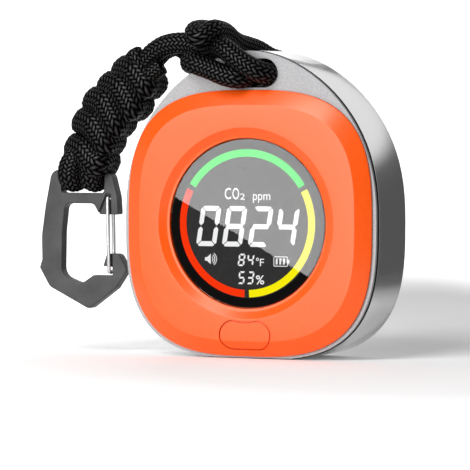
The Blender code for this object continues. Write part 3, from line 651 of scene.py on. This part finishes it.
def rounded_profile(corners, steps=6):
    """An open line of (size, y, radius) corners as (size, y) points, each corner an arc."""
    places = [Vector((size, y)) for size, y, _ in corners]
    line = [places[0]]
    for i in range(1, len(corners) - 1):
        here, radius = places[i], corners[i][2]
        before = (places[i - 1] - here).normalized()
        after = (places[i + 1] - here).normalized()
        half = before.angle(after) / 2
        if not radius or half > STRAIGHT:
            line.append(here)
            continue
        start, end = here + before * (radius / tan(half)), here + after * (radius / tan(half))
        centre = here + (before + after).normalized() * (radius / sin(half))
        for k in range(steps + 1):
            spoke = (start - centre) * (1 - k / steps) + (end - centre) * (k / steps)
            line.append(centre + spoke.normalized() * radius)
    return line + [places[-1]]


# each corner is its size, its y and its radius
SLOPE = [(32.0, EDGE_Y, 0), (32.2, EDGE_Y, 0.15), (32.2, CASE_FRONT - 0.6, 0.3),
         (28.5, FRONT, 0.5), (25.5, FRONT, 0)]
DISH = [(25.0, FRONT, 0), (23.1, FRONT, 0.15), (21.3, LENS_FRONT - 0.1, 0.8),
        (20.65, LENS_FRONT - 0.05, 0.1), (20.65, LEDGE_Y, 0)]


def plate_rings():
    skirt = [round_ring(PLATE_BACK, SEAT_RADIUS), squircle_ring(PLATE_BACK, SKIRT),
             squircle_ring(EDGE_Y, SKIRT)]
    slope = [squircle_ring(y, size) for size, y in rounded_profile(SLOPE)]
    dish = [round_ring(y, size) for size, y in rounded_profile(DISH)]
    return skirt + slope + dish + [round_ring(LEDGE_Y, SEAT_RADIUS)]


print(f"The plate has {len(plate_rings())} rings of {FINE} points")

# %% [markdown]
# ### Cutting with shapes
#
# The hole for the button is cut with a Boolean modifier, which needs a second, solid shape as
# its tool. The tool is lofted in the same way as the plate, and it is deleted once the
# modifier has been applied. The button's outline is a slot with round ends, and its upper edge
# dips a little to follow the dish.

# %% Cutting tools
BUTTON_Z, BUTTON_HALF_WIDTH, BUTTON_HALF_HEIGHT, BUTTON_DIP = 5.75, 6.5, 3.25, 0.35
EDGE_PARTS = 8       # straight parts along each long edge


def button_outline(y, grow=0.0, count=20):
    """A slot with round ends whose upper edge dips to follow the dish."""
    half, reach = BUTTON_HALF_HEIGHT + grow, BUTTON_HALF_WIDTH - BUTTON_HALF_HEIGHT
    ring = []
    for side in (1, -1):
        for i in range(count + 1):
            a = (i / count - 0.5) * pi
            ring.append(v(side * (reach + half * cos(a)), y, BUTTON_Z + side * half * sin(a)))
        for i in range(1, EDGE_PARTS):
            a = 1 - 2 * i / EDGE_PARTS
            dip = BUTTON_DIP * (1 - a * a) if side > 0 else 0
            ring.append(v(side * a * reach, y, BUTTON_Z + side * half - dip))
    return ring


def cut(target, cutter, operation="DIFFERENCE"):
    change = target.modifiers.new(cutter.name, "BOOLEAN")
    change.operation = operation
    change.solver = "EXACT"
    change.object = cutter
    cutter.hide_render = True
    cutter.display_type = "WIRE"


def settle(made):
    """Applies the modifiers and deletes the shapes they used."""
    tools = [m.object for m in made.modifiers if m.type == "BOOLEAN"]
    shaped = bpy.data.meshes.new_from_object(made.evaluated_get(
        bpy.context.evaluated_depsgraph_get()))
    made.modifiers.clear()
    made.data = shaped
    for tool in tools:
        bpy.data.objects.remove(tool)


def plain_loft(name, rings):
    """A cutting shape: it has no surface and rides nothing."""
    mesh = bpy.data.meshes.new(name)
    mesh.from_pydata([tuple(c * MM for c in p) for ring in rings for p in ring], [],
                     loft_faces(rings))
    made = bpy.data.objects.new(name, mesh)
    bpy.context.collection.objects.link(made)
    return face_outward(made)


print(f"The button's outline has {len(button_outline(FRONT))} points")

# %% [markdown]
# ### The orange plastic
#
# The plate is moulded in glossy orange. Its colour is nearly pure, so the soft white of the
# lights comes only from the clear reflection on top. A faint mottle keeps the large flat area
# from looking computed, and a small Bevel radius gives the sharp edges a line of light.

# %% Plate
HOLE_GROW = 0.36     # the hole is this much larger than the button, all round


def make_orange_material():
    made = Recipe("orange_plastic", (0.86, 0.085, 0.001), 0.3)
    made.shader.inputs["Specular IOR Level"].default_value = 0.6
    made.shader.inputs["Specular Tint"].default_value = (1, 0.95, 0.8, 1)
    soften(made, 0.15)
    mottle = made.noise(900, 3)
    made.colour(mottle, [(0.3, (0.85, 0.082, 0.001)), (0.7, (0.88, 0.09, 0.001))])
    made.rough(mottle, 0.26, 0.36)
    made.bump(mottle, 0.08, 0.01)
    return made.material


orange = make_orange_material()
plate = face_outward(loft("orange_face_plate", plate_rings(), orange, "case",
                          around=True))
cut(plate, plain_loft("button_hole", [button_outline(y, HOLE_GROW)
                                      for y in (FRONT - 1, PLATE_BACK + 1)]))
settle(plate)
split_edges(plate)
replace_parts(plate, "face_plate")
print("Plate faces:", len(plate.data.polygons))

# %% [markdown]
# ### The button
#
# The button continues the plate's surface, so it is cut from the same loft: what lies inside
# the button's outline is kept. A collar sits a little lower and fills most of the gap, so the
# line round the button is a shallow groove, and a stem runs back to the switch.

# %% Button
GROOVE_DEPTH = 0.4       # the collar lies this far below the button
COLLAR_GROW = 0.3        # the collar is this much larger than the button, all round
STEM_Z, STEM_RADIUS, STEM_END = 7.9, 0.9, -4.1


def make_button():
    slab = [squircle_ring(y, size) for size, y in rounded_profile(SLOPE)]
    cap = face_outward(loft("round_button", slab, orange, "button"))
    column = [button_outline(y) for y in (FRONT - 1, CASE_FRONT - 0.2)]
    cut(cap, plain_loft("column", column), "INTERSECT")
    sunk = plain_loft("sunk", [[p + v(0, GROOVE_DEPTH, 0) for p in ring] for ring in slab])
    collar = [button_outline(y, COLLAR_GROW) for y in (FRONT - 1, CASE_FRONT + 0.1)]
    cut(sunk, plain_loft("collar", collar), "INTERSECT")
    settle(sunk)
    cut(cap, sunk, "UNION")
    core = [button_outline(y) for y in (CASE_FRONT - 0.4, PLATE_BACK + 0.4)]
    cut(cap, plain_loft("core", core), "UNION")
    stem = [round_ring(y, STEM_RADIUS, 0, STEM_Z, 24) for y in (PLATE_BACK, STEM_END)]
    cut(cap, plain_loft("stem", stem), "UNION")
    settle(cap)
    print("Button faces:", len(cap.data.polygons))
    return split_edges(cap)


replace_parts(make_button(), "button_cap")

# %% [markdown]
# ## The display
#
# Behind a clear lens sits a dark panel with lit figures, and a ring of black ink is printed
# round the lens's edge. The lens is a thin disc that mixes a Transparent and a Glossy shader by
# the Fresnel effect: mostly see-through, with a faint mirror image of the lights. That image
# gives the display its bright diagonal sheen. The panel and the ink have no gloss of their own.

# %% Lens and panel
def make_lens_material():
    made = Recipe("clear_lens", (1, 1, 1), 0.0)
    clear = made.node("ShaderNodeBsdfTransparent")
    mirror = made.node("ShaderNodeBsdfGlossy", Roughness=0.0)
    fresnel = made.node("ShaderNodeFresnel", IOR=1.48)
    mix = made.node("ShaderNodeMixShader")
    made.link(fresnel.outputs["Fac"], mix.inputs["Fac"])
    made.link(clear.outputs["BSDF"], mix.inputs[1])
    made.link(mirror.outputs["BSDF"], mix.inputs[2])
    made.link(mix.outputs["Shader"], made.nodes["Material Output"].inputs["Surface"])
    return made.material


def make_panel_material():
    made = Recipe("display_black", (0.03, 0.03, 0.031), 0.6, Specular_IOR_Level=0.0)
    cloud = made.noise(1200, 2)
    made.colour(cloud, [(0.3, (0.028, 0.028, 0.028)), (0.7, (0.034, 0.034, 0.034))])
    return made.material


def make_ink_material():
    made = Recipe("black_ink", (0.0015, 0.0015, 0.0015), 0.6, Specular_IOR_Level=0.0)
    made.rough(made.noise(1500, 2), 0.5, 0.7)
    return made.material


LENS_RADIUS, LENS_CHAMFER, LENS_BACK = 20.4, 0.12, LENS_FRONT + 0.5
PRINT_FRONT, PRINT_INNER, PRINT_OUTER, PRINT_THICK = LENS_BACK + 0.02, 18.12, 20.35, 0.1
PANEL_FRONT, PANEL_RADIUS = LENS_BACK + 0.06, 18.05
PANEL_STEP, PANEL_BACK, PANEL_FOOT = -6.6, -5.2, 20.5    # the panel's wider back plate

lens_rings = [round_ring(LENS_FRONT, LENS_RADIUS - LENS_CHAMFER),
              round_ring(LENS_FRONT + LENS_CHAMFER, LENS_RADIUS), round_ring(LENS_BACK, LENS_RADIUS)]
lens = loft("clear_lens", lens_rings, make_lens_material(), "case")
split_edges(face_outward(lens))
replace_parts(lens, "lens_window")

print_rings = [round_ring(PRINT_FRONT, PRINT_OUTER), round_ring(PRINT_FRONT, PRINT_INNER),
               round_ring(PRINT_FRONT + PRINT_THICK, PRINT_INNER),
               round_ring(PRINT_FRONT + PRINT_THICK, PRINT_OUTER)]
face_outward(loft("lens_border_print", print_rings, make_ink_material(), "case",
                  around=True, smooth=False))

panel_rings = [round_ring(PANEL_FRONT, PANEL_RADIUS), round_ring(PANEL_STEP, PANEL_RADIUS),
               round_ring(PANEL_STEP, PANEL_FOOT), round_ring(PANEL_BACK, PANEL_FOOT)]
panel = face_outward(loft("display_panel_dark", panel_rings, make_panel_material(), "case"))
split_edges(panel)
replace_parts(panel, "display_panel")
print("The lens is", round(LENS_BACK - LENS_FRONT, 2), "mm thick")

# %% [markdown]
# ### Figures
#
# The figures are flat shapes that give off light. A seven-segment digit is seven bars, and each
# number lights its own set of them, so the same function draws the large and the small digits.
# The three arcs are the scale: good, fair and poor air. Letters come from Blender's own font,
# turned into meshes and fitted to the height and width they should have.

# %% Figure shapes
FIGURE_Y = PANEL_FRONT - 0.02
LIT = {"0": "abcdef", "2": "abged", "3": "abgcd", "4": "fgbc", "5": "afgcd", "8": "abcdefg"}


def make_light_material(name, colour, strength=1.0):
    made = Recipe(name, (0.0, 0.0, 0.0), 0.5, Emission_Strength=strength)
    made.shader.inputs["Emission Color"].default_value = (*colour, 1)
    made.shader.inputs["Specular IOR Level"].default_value = 0.0
    return made.material


class Figures:
    """Flat shapes gathered into one object; x and z are from the display's centre."""

    def __init__(self):
        self.points, self.faces = [], []

    def shape(self, outline):
        start = len(self.points)
        self.points += [v(x, FIGURE_Y, FACE_Z + z) for x, z in outline]
        self.faces.append(tuple(range(start, start + len(outline))))

    def strip(self, x, z, inner, outer, start, end, steps):
        """Part of a ring between two angles in degrees."""
        turns = [radians(start + (end - start) * i / steps) for i in range(steps + 1)]
        for a, b in zip(turns, turns[1:]):
            corners = ((inner, a), (outer, a), (outer, b), (inner, b))
            self.shape([(x + size * cos(turn), z + size * sin(turn)) for size, turn in corners])

    def box(self, left, right, low, high, lean=0.0):
        """Four corners; lean shifts the top of the shape to the right."""
        self.shape([(left, low), (left + lean, high), (right + lean, high), (right, low)])

    def digit(self, number, x, z, width, height, bar, slant=0.16, gap=0.13):
        """A seven-segment digit whose lower left corner is at x, z."""
        middle, h = height / 2, bar / 2
        long, short = 0.6 * bar + gap, 0.3 * bar          # how the outer corners are cut
        across = [(gap + short, 0), (h + gap, h), (width - h - gap, h), (width - gap - short, 0),
                  (width - h - gap, -h), (h + gap, -h)]
        top = [(long, 0), (width - long, 0), (width - short - gap, -short),
               (width - bar - gap, -bar), (bar + gap, -bar), (short + gap, -short)]
        side = [(0, long), (short, short + gap), (bar, bar + gap), (bar, middle - h - gap),
                (h, middle - gap), (0, middle - h - gap)]
        shapes = {
            "a": [(p, height + q) for p, q in top], "d": [(p, -q) for p, q in top],
            "g": [(p, middle + q) for p, q in across], "e": side,
            "f": [(p, height - q) for p, q in side], "c": [(width - p, q) for p, q in side],
            "b": [(width - p, height - q) for p, q in side],
        }
        for name in LIT[number]:
            self.shape([(x + p + slant * q, z + q) for p, q in shapes[name]])

    def number(self, text, x, z, pitch, width, height, bar):
        for i, character in enumerate(text):
            self.digit(character, x + i * pitch, z, width, height, bar)

    def letters(self, text, left, right, low, high, weight=0.0):
        """Letters in Blender's own font, stretched to fill a box."""
        words = bpy.data.curves.new(text, "FONT")
        words.body = text
        words.offset = weight
        maker = bpy.data.objects.new(text, words)
        bpy.context.collection.objects.link(maker)
        flat = bpy.data.meshes.new_from_object(maker.evaluated_get(
            bpy.context.evaluated_depsgraph_get()))
        xs, ys = [p.co.x for p in flat.vertices], [p.co.y for p in flat.vertices]
        across, upward = (right - left) / (max(xs) - min(xs)), (high - low) / (max(ys) - min(ys))
        start = len(self.points)
        for p in flat.vertices:
            self.points.append(v(left + (p.co.x - min(xs)) * across, FIGURE_Y,
                                 FACE_Z + low + (p.co.y - min(ys)) * upward))
        self.faces += [tuple(start + i for i in face.vertices) for face in flat.polygons]
        bpy.data.objects.remove(maker)

    def make(self, name, colour, strength=1.0):
        """The gathered shapes as one flat piece that gives off light."""
        lit = add_mesh(name, self.points, self.faces, make_light_material(name, colour, strength),
                       "case", smooth=False)
        for polygon in lit.data.polygons:
            if polygon.normal.y > 0:
                polygon.flip()
        return lit


print("Digits ready:", " ".join(LIT))

# %% [markdown]
# ### What the display says
#
# The large number is the reading. Small ones give temperature and humidity, and two icons show
# the sound and the battery. All are laid out in millimetres from the middle of the display.
# Shapes of the same colour and strength are gathered into one object.

# %% Figures
ARC_INNER, ARC_OUTER, ARC_X = 16.1, 17.9, -0.25


def draw_readings():
    white = Figures()
    white.number("0824", -13.85, -5.66, 6.9, 5.35, 9.8, 1.2)
    white.letters("C", -6.1, -4.45, 5.75, 8.55, 0.01)
    white.letters("O", -4.05, -2.3, 5.75, 8.55, 0.01)
    white.letters("2", -2.05, -0.75, 5.7, 7.2)
    white.letters("ppm", 1.35, 5.95, 4.95, 7.1)
    white.number("84", -2.75, -10.35, 2.35, 1.75, 3.0, 0.42)
    white.letters("F", 3.2, 4.3, -10.3, -8.5)
    white.strip(2.55, -8.65, 0.2, 0.38, 0, 360, 16)
    white.number("53", -2.75, -14.7, 2.35, 1.75, 3.1, 0.42)
    white.letters("%", 2.15, 4.35, -14.7, -12.5, 0.012)
    return white


def draw_icons():
    icons = Figures()
    icons.box(-11.4, -10.85, -9.2, -8.35)
    icons.shape([(-10.85, -9.2), (-10.85, -8.35), (-9.85, -7.5), (-9.85, -10.05)])
    for inner, outer, half_angle, steps in ((0.65, 0.85, 50, 10), (1.15, 1.35, 55, 12),
                                            (1.62, 1.8, 55, 14)):
        icons.strip(-10.0, -8.78, inner, outer, -half_angle, half_angle, steps)
    left, right, low, high, line, corner = 6.8, 10.55, -10.3, -7.85, 0.2, 0.3
    icons.box(left + corner, right - corner, low, low + line)
    icons.box(left + corner, right - corner, high - line, high)
    icons.box(left, left + line, low + corner, high - corner)
    icons.box(right - line, right, low + corner, high - corner)
    for x, z, start in ((left, low, 180), (right, low, 270), (right, high, 0), (left, high, 90)):
        x += corner if x == left else -corner
        z += corner if z == low else -corner
        icons.strip(x, z, corner - line, corner, start, start + 90, 4)
    icons.box(right, right + 0.4, -9.5, -8.65)
    for i in range(3):
        bar = left + 0.55 + i * 0.95
        icons.box(bar, bar + 0.52, low + 0.5, high - 0.5, lean=0.06)
    return icons


pieces = [draw_readings().make("readings_white", (1, 1, 1), 0.95),
          draw_icons().make("icons_white", (1, 1, 1), 0.9)]
for name, start, end, colour in (("scale_green", 32, 148, (0.02, 0.85, 0.1)),
                                 ("scale_yellow", -88, 28, (1.0, 0.9, 0.0)),
                                 ("scale_red", 152, 268, (1.0, 0.035, 0.0))):
    arc = Figures()
    arc.strip(ARC_X, 0, ARC_INNER, ARC_OUTER, start, end, 48)
    pieces.append(arc.make(name, colour))
print("Lit pieces:", [p.name for p in pieces])

# %% [markdown]
# ## Inside the case
#
# The parts inside show only through the vents and the socket, or when the case is opened in
# another project. Each still gets a surface of its own kind from one short table: a colour,
# a roughness, how metallic it is, and how coarse its grain is.

# %% Inner materials
SCREWS = [f"{kind}_screw_{i}" for kind in ("board", "case") for i in (1, 2, 3, 4)]
INNER = {                # slot: its pieces, colour, roughness, metallic and grain
    "white_plastic": (["backlight", "display_frame"], (0.75, 0.76, 0.76), 0.5, 0.0, 1500),
    "black_plastic": (["tactile_switch", "microcontroller", "buzzer", "battery_connector"],
                      (0.02, 0.02, 0.02), 0.5, 0.0, 2500),
    "circuit_board": (["main_board"], (0.01, 0.09, 0.03), 0.45, 0.0, 1200),
    "sensor_can": (["co2_sensor", "climate_sensor"], (0.7, 0.66, 0.5), 0.3, 0.9, 2000),
    "battery_foil": (["battery_cell"], (0.55, 0.56, 0.58), 0.35, 0.8, 700),
    "foam_rubber": (["sensor_seal", "battery_pad"], (0.03, 0.03, 0.03), 0.9, 0.0, 4000),
    "screen_cloth": (["dust_screen"], (0.05, 0.05, 0.05), 0.8, 0.0, 5000),
    "steel": (["usb_socket"] + SCREWS, (0.6, 0.6, 0.61), 0.3, 1.0, 1800),
}


def make_inner_material(slot, colour, roughness, metallic, grain):
    made = Recipe(f"inner_{slot}", colour, roughness, metallic)
    noise = made.noise(grain)
    dark, light = (tuple(min(1, c * scale) for c in colour) for scale in (0.85, 1.12))
    made.colour(noise, [(0.3, dark), (0.7, light)])
    made.rough(noise, roughness * 0.85, min(1, roughness * 1.2))
    made.bump(noise, 0.3, 0.02)
    return made.material


for slot, (names, colour, roughness, metallic, grain) in INNER.items():
    finish_nodes(names, make_inner_material(slot, colour, roughness, metallic, grain))
print("Inner pieces:", sum(len(row[0]) for row in INNER.values()))

# %% [markdown]
# ## The floor
#
# The studio is a white sweep of paper: a floor that curves up behind. Painted light makes it
# glow, more the farther it is from the case, so it ends in pure white while the soft shadow
# near the case still shows. One long patch behind the case is a painted shadow that does not
# glow, and towards the right painted shade darkens the paper. The silver side wall mirrors both.

# %% Floor
SWEEP_FRONT, SWEEP_FAR, SWEEP_RISE, SWEEP_BEND = -280, 1500, 1300, 500
SWEEP_HALF, SWEEP_WIDENS = 110, 0.1              # half the width at the case, and its growth
PAPER_WHITE, PAPER_SHADE = (0.93, 0.93, 0.93), (0.1, 0.1, 0.1)
GLOW_FROM, GLOW_NEAR, GLOW_FAR = v(60, -20, 0), 70, 300          # the painted glow grows between these
FADE_TOWARD, FADE_NEAR, FADE_FAR = (0.94, 0.337, 0), 52, 85      # to the right, where painted shade darkens the paper and its glow
SHADE_AT = v(-31, 205, 0)                                        # the middle of the painted shadow patch
SHADE_SIZE = v(42, 230, 1000)
SHADE_NEAR, SHADE_FAR = 0.35, 1.6                # its soft edge, in parts of its size


def make_paper():
    made = Recipe("paper_sweep", PAPER_WHITE, 0.8)
    made.shader.inputs["Emission Color"].default_value = (1, 1, 1, 1)
    place = made.node("ShaderNodeTexCoord").outputs["Object"]
    far_off = made.node("ShaderNodeVectorMath", operation="DISTANCE")
    far_off.inputs[1].default_value = GLOW_FROM * MM
    made.link(place, far_off.inputs[0])
    # painted light: the paper's own glow, weakest near the case and full far from it
    glow = made.reach(far_off.outputs["Value"], 0.05, 0.9, GLOW_NEAR * MM, GLOW_FAR * MM)
    # painted shadow: a long patch behind the case where the glow is turned off
    patch = made.node("ShaderNodeMapping", vector_type="TEXTURE")
    patch.inputs["Location"].default_value = SHADE_AT * MM
    patch.inputs["Rotation"].default_value = (0, 0, CAMERA_AZIMUTH)
    patch.inputs["Scale"].default_value = SHADE_SIZE * MM
    made.link(place, patch.inputs["Vector"])
    from_patch = made.node("ShaderNodeVectorMath", operation="LENGTH")
    made.link(patch.outputs["Vector"], from_patch.inputs[0])
    shade = made.reach(from_patch.outputs["Value"], 0, 1, SHADE_NEAR, SHADE_FAR, "SMOOTHSTEP")
    # painted shade towards the right: the glow and the paper's colour both fade out
    outward = made.node("ShaderNodeVectorMath", operation="DOT_PRODUCT")
    outward.inputs[1].default_value = FADE_TOWARD
    made.link(place, outward.inputs[0])
    fade = made.reach(outward.outputs["Value"], 1, 0, FADE_NEAR * MM, FADE_FAR * MM)
    strength = fade
    for part in (glow, shade):
        product = made.node("ShaderNodeMath", operation="MULTIPLY")
        made.link(strength, product.inputs[0])
        made.link(part, product.inputs[1])
        strength = product.outputs["Value"]
    made.link(strength, made.shader.inputs["Emission Strength"])
    # the paper's colour turns from white to the painted shade at the right
    paper = made.node("ShaderNodeMix", data_type="RGBA")
    paper.inputs[COLOUR_A].default_value = (*PAPER_SHADE, 1)
    paper.inputs[COLOUR_B].default_value = (*PAPER_WHITE, 1)
    made.link(fade, paper.inputs["Factor"])
    made.link(paper.outputs[COLOUR_OUT], made.shader.inputs["Base Color"])
    made.rough(made.noise(40, 2), 0.75, 0.9)
    return made.material


def make_sweep():
    start = SWEEP_FAR - SWEEP_BEND
    profile = [(SWEEP_FRONT, 0), (start, 0)]
    profile += [(start + SWEEP_BEND * sin(k * pi / 24), SWEEP_BEND * (1 - cos(k * pi / 24)))
                for k in range(1, 13)]
    profile.append((SWEEP_FAR, SWEEP_RISE))
    points = [v(side * (SWEEP_HALF + SWEEP_WIDENS * y), y, z) * MM
              for side in (-1, 1) for y, z in profile]
    count = len(profile)
    faces = [(i, i + 1, count + i + 1, count + i) for i in range(count - 1)]
    mesh = bpy.data.meshes.new("paper_sweep")
    mesh.from_pydata(points, [], faces)
    mesh.polygons.foreach_set("use_smooth", [True] * len(mesh.polygons))
    mesh.materials.append(make_paper())
    mesh.transform(Matrix.Rotation(CAMERA_AZIMUTH, 4, "Z"))
    sweep = bpy.data.objects.new("paper_sweep", mesh)
    bpy.context.collection.objects.link(sweep)
    print(f"The paper runs {SWEEP_FAR - SWEEP_FRONT} mm back and rises {SWEEP_RISE} mm")


make_sweep()

# %% [markdown]
# ## The lights
#
# One large soft light stands to the left in front. A flat glossy front mirrors whatever stands
# there, so the light's lower edge can be placed by reasoning backwards: a ray leaves the
# camera, bounces off the lens and meets the light's plane. Two such rays fix the edge, and the
# sheen on the display then ends along exactly that line. A smaller, brighter light stands high
# in front, and gives the orange its full colour.

# %% Lights
KEY_AZIMUTH, KEY_DISTANCE = radians(-24.4), 700
KEY_SIZE = (650, 450)
KEY_RADIANCE = 4.85
SHEEN_EDGE = ((-18.0, 5.5), (15.8, -12.5))       # on the lens, from its centre
FRONT_TOWARD, FRONT_DISTANCE = v(-0.1, -0.72, 0.72).normalized(), 800
FRONT_SIZE, FRONT_RADIANCE = (330, 330), 9.0


def soft_light(name, centre, along, facing, size, radiance):
    """A rectangular light; along is the direction of its long side and facing points away."""
    lamp = bpy.data.lights.new(name, "AREA")
    lamp.shape = "RECTANGLE"
    lamp.size, lamp.size_y = (side * MM for side in size)
    lamp.energy = radiance * pi * lamp.size * lamp.size_y
    lit = bpy.data.objects.new(name, lamp)
    bpy.context.collection.objects.link(lit)
    basis = Matrix((along, facing.cross(along), facing)).transposed().to_4x4()
    lit.matrix_world = Matrix.Translation(centre * MM) @ basis
    lit.visible_camera = False


def mirrored(x, z, facing):
    """Where the camera's ray, bounced off the lens at x and z, meets the key light's plane."""
    start = v(x, LENS_FRONT, FACE_Z + z)
    ray = start - camera.location / MM
    ray.y = -ray.y
    reach = KEY_DISTANCE - (start - v(0, LENS_FRONT, FACE_Z)).dot(facing)
    return start + ray * (reach / ray.dot(facing))


toward_key = v(sin(KEY_AZIMUTH), -cos(KEY_AZIMUTH), 0)
edge = [mirrored(x, z, toward_key) for x, z in SHEEN_EDGE]
edge_line = (edge[1] - edge[0]).normalized()
key_centre = (edge[0] + edge[1]) / 2 + toward_key.cross(edge_line) * (KEY_SIZE[1] / 2)
soft_light("key", key_centre, edge_line, toward_key, KEY_SIZE, KEY_RADIANCE)
soft_light("front", FRONT_TOWARD * FRONT_DISTANCE, FRONT_TOWARD.cross(v(0, 0, 1)).normalized(),
           FRONT_TOWARD, FRONT_SIZE, FRONT_RADIANCE)
print("The key light's middle in mm:", [round(c) for c in key_centre])

# %% [markdown]
# ## The sky
#
# The sky is what the silver and the gloss mirror, so it differs by direction. In front it is
# dim and a little lighter overhead. Behind it is dark to just above the horizon, then bright
# until it dims again overhead. Straight to the left and right it is pale low down, which gives
# the rounded edges of the case a light line. Each is a Color Ramp by height, and the three are
# blended by the direction that a ray takes.

# %% World
SIDES_FROM, SIDES_TO = 0.93, 0.97        # how much of a ray goes sideways where the sides begin
BEHIND_FROM, BEHIND_TO = 0.0, 0.4        # the same for rays that go back
# each stop is a height, where 0.5 is the horizon and 1 is overhead, and a brightness
SKY_FRONT = ((0.5, 0.07), (0.6, 0.08), (0.8, 0.22), (1.0, 0.25))
SKY_BACK = ((0.5, 0.08), (0.575, 0.09), (0.61, 0.85), (0.85, 0.9), (0.95, 0.25))
SKY_SIDES = ((0.5, 0.8), (0.62, 0.8), (0.8, 0.4), (1.0, 0.25))
world = bpy.data.worlds.new("studio")
bpy.context.scene.world = world
world.use_nodes = True
tree = world.node_tree
where = tree.nodes.new("ShaderNodeTexCoord")
split = tree.nodes.new("ShaderNodeSeparateXYZ")
tree.links.new(where.outputs["Generated"], split.inputs["Vector"])


def stretch(source, low, high):
    """Maps low to 0 and high to 1."""
    reach = tree.nodes.new("ShaderNodeMapRange")
    reach.inputs["From Min"].default_value = low
    reach.inputs["From Max"].default_value = high
    tree.links.new(source, reach.inputs["Value"])
    return reach.outputs["Result"]


def sky(stops):
    ramp = tree.nodes.new("ShaderNodeValToRGB")
    while len(ramp.color_ramp.elements) < len(stops):
        ramp.color_ramp.elements.new(0.5)
    for element, (position, grey) in zip(ramp.color_ramp.elements, stops):
        element.position = position
        element.color = (grey, grey, grey, 1)
    tree.links.new(stretch(split.outputs["Z"], -1, 1), ramp.inputs["Fac"])
    return ramp.outputs["Color"]


def blend(factor, first, second):
    mixed = tree.nodes.new("ShaderNodeMix")
    mixed.data_type = "RGBA"
    tree.links.new(factor, mixed.inputs["Factor"])
    tree.links.new(first, mixed.inputs[COLOUR_A])
    tree.links.new(second, mixed.inputs[COLOUR_B])
    return mixed.outputs[COLOUR_OUT]


sideways = tree.nodes.new("ShaderNodeMath")
sideways.operation = "ABSOLUTE"
tree.links.new(split.outputs["X"], sideways.inputs[0])
front_back = blend(stretch(split.outputs["Y"], BEHIND_FROM, BEHIND_TO), sky(SKY_FRONT),
                   sky(SKY_BACK))
whole = blend(stretch(sideways.outputs["Value"], SIDES_FROM, SIDES_TO), front_back, sky(SKY_SIDES))
tree.links.new(whole, tree.nodes["Background"].inputs["Color"])
bpy.context.scene.view_settings.view_transform = "Standard"
print("The sky uses", len(tree.nodes), "nodes")
